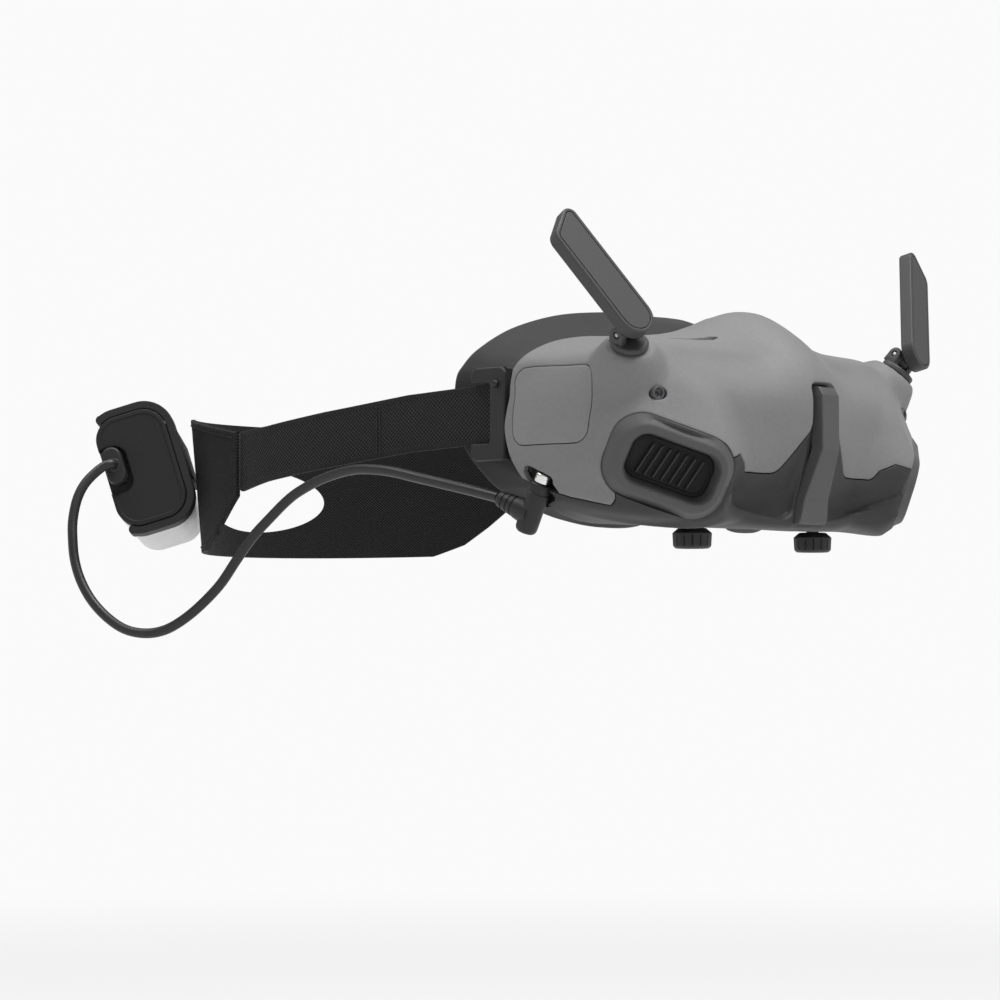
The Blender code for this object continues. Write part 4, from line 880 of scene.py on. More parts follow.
# ---------------------------------------------------------------- power lead, laid first
LONG = Vector((0.742, 0.662, -0.10)).normalized()
IMG_RIGHT = Vector((0.6626, -0.749, 0.0))
tall0 = IMG_RIGHT * -math.sin(math.radians(17.5)) + Vector((0, 0, 1)) * math.cos(math.radians(17.5))
THICK = LONG.cross(tall0).normalized()
if THICK.dot(IMG_RIGHT) > 0:
    THICK = -THICK
TALL = THICK.cross(LONG).normalized()
if TALL.z < 0:
    TALL = -TALL
NEAR = Vector((-83.6, 167.4, -9.9))
batt_m = frame_of(NEAR, THICK, TALL, THICK.cross(TALL))
ZS = 1.0 if THICK.cross(TALL).dot(LONG) > 0 else -1.0
BT, BH, BL = 26.0, 41.0, 73.0
SOCK = Vector((-80.8, -21.6, -21.0))
AX = Vector((0.0, -0.42, 0.907)).normalized()
ARM_END = Vector((-83.1, -4.6, -25.9))
PLUG_C = NEAR + THICK * 8.9 + TALL * 2.8
cable_exit = PLUG_C - LONG * 4.1
CORD_D = 3.5
ROUTE = [
    tuple(cable_exit - LONG * 0.4), tuple(cable_exit - LONG * 4.4), (-99.1, 171.0, -10.7), (-104.2, 173.2, -15.8),
    (-107.9, 173.8, -21.8), (-110.6, 173.1, -29.4), (-112.2, 171.4, -35.9), (-113.4, 168.9, -43.8), (-113.6, 165.4, -51.2),
    (-112.7, 160.6, -58.3), (-110.8, 154.4, -64.4), (-108.4, 147.6, -68.6), (-105.5, 140.4, -70.0), (-102.9, 133.4, -68.9),
    (-100.6, 126.8, -65.5), (-98.2, 120.1, -60.3), (-95.3, 113.2, -53.0), (-93.2, 107.4, -44.7), (-91.2, 101.5, -36.8),
    (-89.1, 94.7, -30.0), (-87.6, 88.5, -24.6), (-86.8, 83.0, -21.3), (-85.6, 74.1, -17.6), (-84.8, 64.0, -15.2), (-84.4, 55.2, -14.6),
    (-84.0, 43.4, -15.7), (-83.6, 30.4, -18.4), (-83.4, 16.8, -21.2), (-83.3, 6.4, -23.4), tuple(ARM_END),
]
route, lead_length = dense_line(ROUTE, 1.6)
cu = bpy.data.curves.new("lead", "CURVE")
cu.dimensions, cu.bevel_depth, cu.bevel_resolution, cu.use_fill_caps = "3D", CORD_D / 2 * MM, 6, True
sp = cu.splines.new("POLY")
sp.points.add(len(route) - 1)
for pt, co in zip(sp.points, route):
    pt.co = (*(co * MM), 1)
cu.materials.append(CORDM)
lead = bpy.data.objects.new("lead", cu)
scene.collection.objects.link(lead)
put(lead, "goggles", "cord_black", "power_lead")


def tube_along(name, line, radii, mat, n=28, cap=True):
    """Round tube whose radius follows radii along a line of points (mm)."""
    line = np.asarray(line, float)
    t = np.gradient(line, axis=0)
    t /= np.linalg.norm(t, axis=1, keepdims=True)
    ref = np.array([0.0, 0.0, 1.0]) if abs(t[0][2]) < 0.9 else np.array([1.0, 0, 0])
    a = np.cross(t[0], ref)
    a /= np.linalg.norm(a)
    rings = []
    for p, d, r in zip(line, t, radii):
        a = a - d * (a @ d)
        a /= np.linalg.norm(a)
        b = np.cross(d, a)
        rings.append([tuple(p + r * (a * math.cos(w) + b * math.sin(w))) for w in np.linspace(0, math.tau, n + 1)[:-1]])
    pts, faces = loft(rings, True, cap, cap)
    return fix_normals(new_object(name, pts, faces, mat))


# ---------------------------------------------------------------- shells
body_form = Form(surface, -12, 12, 0, 9)
probe = body_form.normal(np.array([0.0]), np.array([4.0]))
if probe[0][1] > 0:
    body_form.sign = -1.0

S_FINE = np.linspace(-12, 12, 217)
T_FINE = np.linspace(0, 9, 106)
def locate_side(points):
    """(s, t) of the surface points that have the given (y, z), seen square on from the side."""
    q = np.asarray(points, float)
    for _ in range(7):
        st = locate(q)
        q[:, 0] = surface(st[:, 0], st[:, 1])[:, 0]
    return st


touch_out = locate_side([(-82.5, y, z) for y, z in rounded_rect(15.62, 12.85, 5.1, 8, -25.9, 3.4)])
touch_in = locate_side([(-82.5, y, z) for y, z in rounded_rect(15.36, 12.59, 4.85, 8, -25.9, 3.4)])
CAM = Vector((67.9, -59.4, 6.0))
ring24 = [math.tau * k / 28 for k in range(28)]
cam_holes = [locate([(side * (CAM.x + 2.5 * math.cos(a)), CAM.y + 1.0 + 1.8 * math.cos(a), CAM.z + 2.5 * math.sin(a)) for a in ring24]) for side in (-1, 1)]
SOCK_SIDE = Vector((0.0, 0.907, 0.42)).normalized()


def sock_point(w, k):
    return tuple(SOCK + SOCK_SIDE * w + AX * k)


# notch over the plug: a slot with a round front end, open towards the rear edge
notch3 = [sock_point(w, k) for w, k in ((-5.1, -9.5), (-5.1, 1.2), (-4.6, 2.6), (-3.4, 3.3), (0, 3.4), (4.5, 3.4), (6.4, 3.1), (7.5, 2.2), (7.7, 0.4), (7.7, -9.5))]
notch = locate(notch3)
notch = np.array([[s, min(t, 9.0)] for s, t in notch])
notch[0, 1] = notch[-1, 1] = 9.3
notch_rear = np.array([[-12.3, notch[-4, 1]], notch[-4].tolist(), notch[-3].tolist(), [notch[0, 0], 9.3], [-12.3, 9.3]])

VCX = -2.2
VENT_LOOP = rounded_rect(VENT_HX + 6.05, VENT_HY + 6.0, 10.8, 10, VCX, 0, 9)
VENT_DARK = rounded_rect(VENT_HX + 5.80, VENT_HY + 5.75, 10.55, 10, VCX, 0, 9)
vent_grey = [locate_vent(side, VENT_LOOP) for side in (-1, 1)]
vent_dark = [locate_vent(side, VENT_DARK) for side in (-1, 1)]
halo = [(locate_vent(side, rounded_rect(VENT_HX + q, VENT_HY + q - 0.05, q + 4.8, 10, VCX, 0, 9)), True) for side in (-1, 1) for q in (6.9,)]


def top_edge(n=80):
    return [(s, 0.0) for s in np.linspace(12, -12, n)]


def low_edge(n=80):
    return [(s, 9.0) for s in np.linspace(12, -12, n)]


grey_keep = np.concatenate([split_st, top_edge()])
dark_line = body_form.offset(body_form.resample(split_st, 1.0, False), 0.0, False)
shift = body_form.offset(dark_line, 0.32, False)
if shift[len(shift) // 2][1] < dark_line[len(shift) // 2][1]:
    shift = body_form.offset(dark_line, -0.32, False)
shift[0, 0], shift[-1, 0] = -12.0, 12.0
dark_keep = np.concatenate([shift, low_edge()])

# a long louvre on each side of the raised brow
slot_a, slot_b = np.array([-47.0, -44.5, 27.3]), np.array([-24.0, -47.6, 28.0])


def slot_distance(p):
    q = p.copy()
    q[:, 0] = -np.abs(q[:, 0])
    ab = slot_b - slot_a
    f = np.clip(((q - slot_a) @ ab) / (ab @ ab), 0, 1)
    d = q - (slot_a + f[:, None] * ab)
    return np.hypot(d[:, 1], d[:, 0])


def ramp(x, a, b):
    f = np.clip((x - a) / (b - a), 0, 1)
    return f * f * (3 - 2 * f)


def grey_height(p, s, t):
    top = p[:, 2] > 20
    return -2.2 * (1 - ramp(slot_distance(p), 0.9, 1.35)) * top


def capsule(side, r, n=12):
    a, b = slot_a, slot_b
    d = (b - a)[:2] / np.linalg.norm((b - a)[:2])
    nrm = np.array([-d[1], d[0]])
    out = []
    for c, a0 in ((b, -math.pi / 2), (a, math.pi / 2)):
        for k in range(n + 1):
            w = a0 + math.pi * k / n
            q = c[:2] + r * (d * math.cos(w) + nrm * math.sin(w))
            out.append((-side * q[0] if side > 0 else q[0], q[1], c[2]))
    return out


def on_top(points):
    """(s, t) of the surface points nearest to the given points."""
    pts = np.asarray(points, float)
    guess = locate(pts)
    return guess


slot_lines = [(on_top(capsule(side, r)), True) for side in (-1, 1) for r in (0.9, 1.15, 1.4)]
front = sheet_mesh("shell_front", body_form, grey_keep, [*vent_grey, touch_out, notch, *cam_holes], S_FINE, T_FINE, 2.0, GREY, 0.34,
                   halo + slot_lines, height=grey_height)
put(front, "goggles", "shell_grey", "front_shell")


def strip_sink(p):
    x = np.abs(p[:, 0])
    return 2.0 * np.clip((8.5 - x) / 3.0, 0, 1) * np.clip((p[:, 2] + 36) / 6.0, 0, 1)


def bowl_depth(p):
    """Hollow of the dark shell on each side of the bar, above its lower lip."""
    x, z = np.abs(p[:, 0]), p[:, 2]
    lip = np.interp(x, [7, 12, 18, 26, 36, 46, 56, 64], [-27.5, -30.3, -30.6, -29.6, -27.2, -23.8, -19.5, -16])
    top = np.interp(x, [7, 13, 18.2, 21.5, 34.5, 38.5, 46, 58, 64], [-3, -10, -16.4, -18.1, -17.8, -14.8, -13.2, -13.5, -14])
    f = np.clip((top - z) / np.maximum(top - lip, 1), 0, 1.3)
    prof = np.where(f < 1, np.sin(np.clip(f, 0, 1) * math.pi / 2) ** 1.2, 1 - ramp(f, 1.0, 1.14))
    side = ramp(x, 7.5, 9.5) * (1 - ramp(x, 40, 60))
    return 2.3 * prof * side * (z < top)


def dark_height(p, s, t):
    return -strip_sink(p) - bowl_depth(p)


knob_slots = []
for side in (-1, 1):
    slot = [(side * 33.5 + x, -45.7 + y, -34.3) for x, y in rounded_rect(8.6, 2.9, 2.8, 8)]
    knob_slots.append(locate(slot))


def near_vent(points):
    _, _, h, d = vent_coords(points)
    return (d < 8.6) & (h > -8)


dark = sheet_mesh("shell_lower", body_form, dark_keep, [*vent_dark, np.clip(notch_rear, [-12, 0], [12, 9]), *knob_slots], S_FINE, np.linspace(3, 9, 86), 2.0, DARK, 0.3,
                  halo, height=dark_height, bare=near_vent)
put(dark, "goggles", "shell_charcoal", "lower_shell")

touch = sheet_mesh("touch_plate", body_form, touch_in, [], S_FINE[S_FINE < -8], T_FINE, 1.6, TOUCH, 0.22)
touch_back = np.array(locate_side([(-82.5, y, z) for y, z in rounded_rect(16.9, 14.1, 5.9, 8, -25.9, 3.4)]))
deep = Form(lambda u, v: surface(u, v) - body_form.normal(u, v) * 2.08, -12, 12, 0, 9, body_form.sign)
ledge = sheet_mesh("touch_ledge", deep, touch_back, [], S_FINE[S_FINE < -8][::2], T_FINE[::2], 0.5, INNER, 0.0)
put(join("touch_panel_set", touch, ledge), "goggles", "shell_grey", "touch_panel")

# ---------------------------------------------------------------- vents
for side, word in ((-1, "right"), (1, "left")):
    m = frame_of((side * VENT.x, VENT.y, VENT.z), *vent_axes(side))
    st = vent_dark[0 if side < 0 else 1]
    outer_h = vent_coords(surface(st[:, 0], st[:, 1]))[2]
    cx = -1.15
    steps = [
        (5.80, 10.55, -2.2, -7.5), (5.80, 10.55, -2.2, None), (4.7, 9.6, -2.0, -2.0), (3.6, 8.7, -1.8, -0.62), (3.15, 8.3, -1.7, -0.14),
        (2.75, 7.9, -1.6, 0.0), (1.25, 6.5, -1.3, 0.0), (0.85, 6.1, -1.22, -0.12), (0.50, 5.8, -1.2, -0.55), (0.05, 5.4, -1.15, -1.5), (-0.6, 4.9, -1.15, -6.4),
    ]
    rings = []
    for d, r, f, h in steps:
        ring = rounded_rect(VENT_HX + d, VENT_HY + d - 0.05, r, 10, f, 0, 9)
        rings.append([(x, y, outer_h[k] if h is None else h) for k, (x, y) in enumerate(ring)])
    pts, faces = loft(rings, True, False, False)
    bez = new_object(f"bezel_{word}", pts, faces, BEZEL, m, 30)
    fix_normals(bez)
    put(bez, "goggles", "shell_charcoal", f"vent_bezel_{word}")
    # grille: a dark plate with seven standing slats, leaning with the air flow
    lean = math.radians(12) * (-1 if side < 0 else 1)
    plate = stack("plate", rounded_rect(14.6, 7.9, 5.2, 8, cx, 0), round_levels(-6.9, -6.0, 0.2), INNER, m)
    slats = []
    for k in range(7):
        c = -8.7 + 2.9 * k + cx
        bar_m = m @ Matrix.Translation(Vector((c, 0, 0)) * MM) @ Matrix.Rotation(lean, 4, "Z")
        slats.append(stack(f"slat{k}", rounded_rect(0.42, 5.5, 0.4, 4), [(0, -6.1), (0, -4.9), (0.06, -4.55), (0.22, -4.35), (0.34, -4.3)], SLAT, bar_m, sharp=50))
    rim = stack("rim", rounded_rect(13.9, 7.2, 4.6, 8, cx, 0), [(0, -6.0), (0, -5.7), (0.3, -5.5), (0.9, -5.5), (1.2, -5.9)], INNER, m, cap_first=False, cap_last=False)
    put(join(f"grille_{word}", plate, rim, *slats), "goggles", "black_plastic", f"vent_grille_{word}")

# ---------------------------------------------------------------- forward cameras
for side, word in ((-1, "right"), (1, "left")):
    st = cam_holes[0 if side < 0 else 1]
    at = surface(st[:, 0], st[:, 1]).mean(0)
    out = Vector((side * 0.30, -0.95, 0.05)).normalized()
    m = frame_of(at, out.cross(Vector((0, 0, 1))), Vector((0, 0, 1)), out)
    m = frame_of(at, out.cross(Vector((0, 0, 1))).normalized(), out.cross(out.cross(Vector((0, 0, 1)))).normalized() * -1, out)
    hood = revolve(f"hood_{word}", [(2.35, -3.5), (2.35, 0.15), (2.2, 0.42), (1.95, 0.52), (1.65, 0.5), (1.5, 0.3), (1.45, -0.35), (1.2, -0.5), (0.9, -0.75), (0.62, -0.8)], BAR, m, 40, 45)
    iris = revolve(f"iris_{word}", [(0.62, -0.8), (0.6, -1.3), (0.0, -1.3)], INNER, m, 24)
    put(join(f"camera_{word}", hood, iris), "goggles", "black_plastic", f"front_camera_{word}")
    lens = revolve(f"camera_glass_{word}", [(0.0, -0.62), (0.3, -0.65), (0.56, -0.78), (0.56, -1.0), (0.3, -1.05), (0.0, -1.06)], CAMGLASS, m, 24)
    put(lens, "goggles", "glass", f"camera_lens_{word}")

# ---------------------------------------------------------------- central bar
rows = [(11.35, 4.35, -75.0, 0), (11.2, 4.35, -76.0, 0), (10.9, 4.4, -76.35, 0), (8.7, 4.62, -77.75, 0), (8.3, 4.66, -77.85, 0), (0, 4.7, -77.88, 0), (-9.0, 4.72, -77.9, 0),
        (-9.8, 4.8, -77.7, 0), (-18, 5.75, -74.75, 0), (-25.6, 6.65, -71.95, 0), (-26.6, 6.75, -71.75, 0), (-31.5, 7.3, -71.05, 0), (-33.0, 7.5, -70.6, 0), (-34.0, 7.5, -69.8, 0)]
rings = []
for z, hw, yf, _ in rows:
    r = 0.55
    sec = [(-hw, yf + 4.6), (-hw, yf + 2.2)]
    sec += [(-hw + r * (1 - math.cos(a)), yf + r * (1 - math.sin(a))) for a in np.linspace(0, math.pi / 2, 5)]
    sec += [(x, yf) for x in (-hw * 0.5, 0, hw * 0.5)]
    sec += [(hw - r * (1 - math.cos(a)), yf + r * (1 - math.sin(a))) for a in np.linspace(math.pi / 2, 0, 5)]
    sec += [(hw, yf + 2.2), (hw, yf + 4.6)]
    rings.append([(x, y, z) for x, y in sec])
pts, faces = loft(rings, True, True, True)
bar = fix_normals(new_object("nose_bar", pts, faces, BAR, None, 24, weighted=True))
put(bar, "goggles", "shell_charcoal", "central_bar")

# ---------------------------------------------------------------- antennas
ANT_PIN_H, ANT_PIN_BACK, BASE_R, PADDLE_HALF = 5.4, 2.0, 6.15, 6.7
AIM = {-1: (-0.352, 0.496, 0.794), 1: (0.419, 0.303, 0.855)}


def antenna_axes(side):
    n = Vector((side * SEAT_N.x, SEAT_N.y, SEAT_N.z))
    q = Vector(AIM[side]).normalized()
    p = n.cross(q).normalized()
    if p.z > 0:
        p = -p
    k = q.cross(p).normalized()
    if k.y > 0:
        k = -k
    f = n.cross(p).normalized()
    if f.y > 0:
        f = -f
    return n, q, p, k, f


def holed(name, loop, centre, hole_r, z0, z1, r, mat, matrix, n=40):
    """Slab of a star-shaped outline with a round hole at centre and rounded rims."""
    loop = np.asarray(ccw(loop), float)
    c = np.array(centre)
    rel = np.concatenate([loop - c, (loop - c)[:1]])
    fine = np.concatenate([a + (b - a) * np.linspace(0, 1, 24)[:-1, None] for a, b in zip(rel[:-1], rel[1:])])
    ang = np.unwrap(np.arctan2(fine[:, 1], fine[:, 0]))
    want = ang[0] + np.linspace(0, math.tau, n + 1)[:-1]
    rad = np.interp(want, ang, np.hypot(fine[:, 0], fine[:, 1]))
    d = np.stack([np.cos(want), np.sin(want)], -1)
    rings = []

    def ring(rr, z):
        rings.append([(*(c + v * q), z) for v, q in zip(d, np.broadcast_to(rr, rad.shape))])

    ring(hole_r, z0)
    for i, z in ((r, z0), (r * 0.3, z0 + r * 0.3), (0, z0 + r), (0, z1 - r), (r * 0.3, z1 - r * 0.3), (r, z1)):
        ring(rad - i, z)
    ring(hole_r + 0.12, z1)
    ring(hole_r, z1 - 0.15)
    ring(hole_r, z0)
    pts, faces = loft(rings, True, False, False)
    o = new_object(name, pts, faces, mat, matrix, 35, merge=1e-7)
    return fix_normals(o)


def paddle_outline(hw, inset, n=14):
    pts = [(-(hw - inset) * math.cos(a), 1.4 - (hw - inset) * math.sin(a)) for a in np.linspace(0, math.pi, 2 * n)]
    for cx, cy, r, a0, a1 in ((hw - 4.0, 34.2, 4.0 - inset, 0.0, 1.15), (-hw + 3.0, 39.2, 3.0 - inset, 1.15, math.pi)):
        pts += [(cx + r * math.cos(a), cy + r * math.sin(a)) for a in np.linspace(a0, a1, n)]
    return pts


for side, word in ((-1, "right"), (1, "left")):
    n, q, p, k, f = antenna_axes(side)
    seat = Vector((side * SEAT.x, SEAT.y, SEAT.z))
    base_m = frame_of(seat, p, n.cross(p), n)
    fy = 1.0 if n.cross(p).dot(f) > 0 else -1.0
    plate = revolve("plate", [(0, 0.35), (5.85, 0.35), (6.15, 0.6), (6.15, 1.75), (5.95, 2.15), (5.5, 2.4), (4.6, 2.4), (4.5, 2.3), (0, 2.3)], ANT, base_m, 56)
    ear_y = -fy * ANT_PIN_BACK
    prof = [(-2.55, 1.8), (2.55, 1.8)] + [(2.55 * math.cos(a), ANT_PIN_H + 2.55 * math.sin(a)) for a in np.linspace(0, math.pi, 17)]
    ear_m = frame_of(seat, n.cross(p), n, p)
    ears = [holed("ear", [(ear_y + x, z) for x, z in prof], (ear_y, ANT_PIN_H), 1.15, z0, z1, 0.35, ANT, ear_m) for z0, z1 in ((2.62, 5.2), (-5.2, -2.62))]
    put(join(f"ant_base_{word}", plate, *ears), f"antenna_swivel_{word}", "antenna_charcoal", f"antenna_base_{word}")
    pin_c = seat + n * ANT_PIN_H - f * ANT_PIN_BACK
    pin_m = frame_of(pin_c, f, n.cross(p).cross(p), p)
    pin = revolve(f"ant_pin_{word}", [(0, 4.95), (0.35, 4.98), (0.68, 4.9), (0.8, 4.7), (0.8, -4.7), (0.68, -4.9), (0, -4.98)], STEEL, pin_m, 24)
    put(pin, f"antenna_swivel_{word}", "metal", f"antenna_pin_{word}")
    pad_m = frame_of(pin_c, p, q, p.cross(q))
    kz = 1.0 if p.cross(q).dot(k) > 0 else -1.0
    levels = [(1.75, 3.42), (1.5, 3.42), (1.5, 3.75), (1.25, 3.75), (1.25, 3.42), (0.5, 3.4), (0.22, 3.5), (0.06, 3.72), (0, 4.0), (0, 7.55), (0.07, 7.85), (0.25, 8.05),
              (0.5, 8.13), (1.12, 8.14), (1.25, 8.05), (1.27, 7.45)]
    slab = stack("slab", paddle_outline(PADDLE_HALF, 0), [(d, kz * z) for d, z in levels], ANT, pad_m, sharp=50)
    knuckle = revolve("knuckle", [(1.15, -2.25), (2.15, -2.25), (2.35, -2.05), (2.35, 2.05), (2.15, 2.25), (1.15, 2.25)], ANT, pin_m, 40, close=True)
    web = stack("web", rounded_rect(2.2, 1.1, 0.5, 4, 0, 0.8), [(0, kz * 1.2), (0, kz * 4.4)], ANT, pad_m)
    put(join(f"ant_blade_{word}", slab, knuckle, web), f"antenna_blade_{word}", "antenna_charcoal", f"antenna_paddle_{word}")
    cover = stack(f"ant_cover_{word}", paddle_outline(PADDLE_HALF, 1.5), [(0, kz * 7.56), (0, kz * 8.0), (0.06, kz * 8.1), (0.2, kz * 8.15)], ANT_COVER, pad_m)
    put(cover, f"antenna_blade_{word}", "antenna_charcoal", f"antenna_cover_{word}")

# ---------------------------------------------------------------- lens modules and focus knobs
LENS_X, LENS_Z = 33.5, -1.0
for side, word in ((-1, "right"), (1, "left")):
    x = side * LENS_X
    m = frame_of((x, 0, LENS_Z), (1, 0, 0), (0, 0, -1), (0, 1, 0))
    ridges = []
    for i in range(14):
        ridges += [(19.2, -31.2 - i), (19.42, -31.7 - i)]
    prof = [(20.35, -19.0), (20.8, -19.15), (21.0, -19.6), (21.0, -21.4), (20.75, -21.6), (20.75, -22.2), (21.0, -22.4), (21.0, -45.5), (20.6, -46.0), (19.5, -46.0)]
    prof += ridges[::-1] + [(19.2, -30.9), (19.2, -20.6), (19.45, -20.3), (19.75, -19.4), (19.95, -19.1)]
    barrel = revolve(f"barrel_{word}", prof, INNER, m, 96, 35, close=True)
    put(barrel, f"lens_module_{word}", "black_plastic", f"lens_barrel_{word}")
    r = 18.75
    prof = [(r * a, -21.6 - 3.0 * a * a) for a in np.linspace(0, 0.985, 14)] + [(r, -24.75), (r, -27.25)] + [(r * a, -30.4 + 3.0 * a * a) for a in np.linspace(0.985, 0, 14)]
    eyep = revolve(f"eyepiece_{word}", prof, GLASS, m, 96, 50)
    put(eyep, f"eyepiece_{word}", "glass", f"eyepiece_lens_{word}")

    def flute(a, r, z):
        if r < 5.6 or not -41.3 < z < -37.5:
            return r
        w = (a / math.tau * 14) % 1.0
        return r - 0.38 * max(0.0, 1 - abs(w - 0.5) / 0.085) ** 0.5

    up = frame_of((x, -45.7, 0), (1, 0, 0), (0, 1, 0), (0, 0, 1))
    prof = [(0, -23.6), (1.9, -23.6), (2.1, -23.8), (2.1, -35.3), (2.3, -35.45), (4.3, -35.45), (4.6, -35.5), (6.3, -36.95), (6.48, -37.2), (6.5, -37.49), (6.48, -37.7), (6.44, -38.2), (6.3, -40.9),
            (6.26, -41.29), (6.2, -41.45), (5.75, -41.95), (5.3, -42.2), (4.6, -42.2), (4.45, -42.0), (0, -42.0)]
    knob = revolve(f"knob_{word}", prof, KNOB, up, 196, 30, flute)
    put(knob, f"focus_{word}", "black_plastic", f"focus_knob_{word}")

# ---------------------------------------------------------------- seal and rear frame
EDGE = [(0, 0), (1.5, 0), (3, 0), (5, 0), (7, 0), (9, 0), (10.5, 0), (12, 0), (12, 2), (12, 4.5), (12, 7), (12, 9),
        (10.5, 9), (9, 9), (7, 9), (5, 9), (3, 9), (1.5, 9), (0, 9)]
FACE = [(0, 0, 40), (11, 0.3, 40.4), (22, 1, 40.3), (43, 5, 38), (60, 11, 32.5), (70.5, 17, 25), (74.5, 20.5, 19), (75.8, 22, 15),
        (76.3, 22.3, 8), (76.3, 21.5, 0), (75, 18, -9.5), (72, 11, -19), (69, 6, -24), (64.5, -0.5, -28.5), (56, -7, -32.5),
        (42, -12, -35), (24, -15, -34), (12, -21, -26), (0, -26, -16)]


def edge_points(count):
    e = [surface(np.array([s]), np.array([t]))[0] for s, t in EDGE]
    out = [(catmull(e, (len(EDGE) - 1) * k / count), catmull(FACE, (len(EDGE) - 1) * k / count)) for k in range(count)]
    last = (np.array(e[-1]), np.array(FACE[-1], float))
    flip = np.array([-1, 1, 1])
    return out + [last] + [(a * flip, b * flip) for a, b in out[:0:-1]]


def inset_loop(points, distance):
    p = np.asarray(points)
    d = np.roll(p, -1, 0) - np.roll(p, 1, 0)
    n = np.stack([d[:, 2], 0 * d[:, 0], -d[:, 0]], -1)
    n /= np.linalg.norm(n, axis=1, keepdims=True)
    n *= -np.sign((n * p).sum(1).sum())
    return p + n * distance


def smooth_loop(a, times=2):
    for _ in range(times):
        a = 0.5 * a + 0.25 * (np.roll(a, 1, 0) + np.roll(a, -1, 0))
    return a


pairs = edge_points(130)
edge = np.array([a for a, _ in pairs])
face = np.array([b for _, b in pairs])
inset = 2.0 + 2.6 * np.clip((np.abs(edge[:, :1]) - 64) / 12, 0, 1)
outer0 = inset_loop(edge, inset + 0.15) + [0, 1.4, 0]
inner0 = inset_loop(edge, inset + 2.9) + [0, 1.4, 0]
inner2 = inset_loop(face, 3.0) - [0, 1.2, 0]
mid_o = inset_loop(outer0 * 0.5 + face * 0.5, 0.8)
mid_i = inset_loop(mid_o, 3.0)
rim_o = face + (mid_o - face) * 0.13
rim_i = inner2 + (mid_i - inner2) * 0.13
levels = []
for a, b, c in ((outer0, mid_o, rim_o), (rim_i, mid_i, inner0)):
    row = []
    for f in np.linspace(0, 1, 12):
        l0, l1, l2 = (f - 0.5) * (f - 1) * 2, -4 * f * (f - 1), 2 * f * (f - 0.5)
        row.append(a * l0 + b * l1 + c * l2)
    levels.append(row)
rim = []
for f in np.linspace(0, 1, 8)[1:-1]:
    rim.append(rim_o * (1 - f) ** 3 + face * 3 * f * (1 - f) ** 2 + inner2 * 3 * f * f * (1 - f) + rim_i * f**3)
# a fine moulded line round the outer side, near the shell
levels[0].insert(2, levels[0][1] * 0.55 + levels[0][2] * 0.45)
levels[0][2] = inset_loop(levels[0][2], 0.3)
sec = levels[0] + rim + levels[1]
rings = []
for k in range(len(pairs)):
    ring = np.array([s[k] for s in sec])
    low = (ring[:, 0] < -73.2) & (ring[:, 2] < -11.6) & (ring[:, 2] > -30.2)
    ring[low, 1] = np.maximum(ring[low, 1], -12.7)
    rings.append([tuple(v) for v in ring])
rings.append(rings[0])
pts, faces = loft(rings, True, False, False)
seal = new_object("soft_seal", pts, faces, SEAL, None, 60, merge=1e-7)
fix_normals(seal)
put(seal, "goggles", "seal_rubber", "face_seal")

pairs26 = edge_points(26)
edge26 = np.array([a for a, _ in pairs26])


def frame_y(x, z):
    d2 = (x[..., None] - edge26[:, 0]) ** 2 + (z[..., None] - edge26[:, 2]) ** 2
    w = 1 / (d2 + 30) ** 1.6
    return (w * edge26[:, 1]).sum(-1) / w.sum(-1)


fl = inset_loop(edge, 3.5 + 3.4 * np.exp(-((edge[:, :1] / 9) ** 2)) * (edge[:, 2:] < 0))
frame_form = Form(lambda u, v: np.stack([u, frame_y(u, v) - 2.4, v], -1), -84, 84, -40, 40)
if frame_form.normal(np.array([0.0]), np.array([20.0]))[0][1] < 0:
    frame_form.sign = -1.0
eyes = [np.array(rounded_rect(29.0, 23.4, 21.0, 14, sx * LENS_X * 1.06, -2.0)) for sx in (-1, 1)]
room = np.array([(-90, -29.7), (-73.8, -29.7), (-73.8, -12.0), (-90, -12.0)])


def eye_rim(p, u, v):
    d = nearest(np.stack([u, v], -1), np.concatenate([frame_form.resample(e, 0.5)[:, :2] for e in eyes]))
    return 0.35 * ramp(d, 0.3, 0.6) * (1 - ramp(d, 1.6, 1.9))


rf = sheet_mesh("lens_frame", frame_form, fl[:, [0, 2]], [*eyes, room], np.linspace(-84, 84, 90), np.linspace(-40, 40, 44), 2.0, INNER, 0.3,
                [(inset2(ccw(e), -q), True) for e in eyes for q in (1.6, 1.9)], height=eye_rim)
put(rf, "goggles", "black_plastic", "rear_frame")


def hexed(a, r, z):
    if r > 0.75 or r < 0.3:
        return r
    w = (a % (math.pi / 3)) - math.pi / 6
    return r * math.cos(math.pi / 6) / math.cos(w)


for side, word in ((-1, "right"), (1, "left")):
    for zz, lvl in ((10.0, "upper"), (-11.0, "lower")):
        x = side * 69.5
        y = float(frame_y(np.array([x]), np.array([zz]))[0]) - 1.7
        s_m = frame_of((x, y, zz), (1, 0, 0), (0, 0, -1), (0, 1, 0))
        sc = revolve(f"screw_{lvl}_{word}", [(0, 0.9), (0.66, 0.9), (0.7, 1.52), (0.85, 1.58), (1.2, 1.5), (1.55, 1.15), (1.7, 0.8), (1.7, 0.42), (0, 0.4)], STEEL, s_m, 48, 30, hexed)
        put(sc, "goggles", "metal", f"frame_screw_{lvl}_{word}")

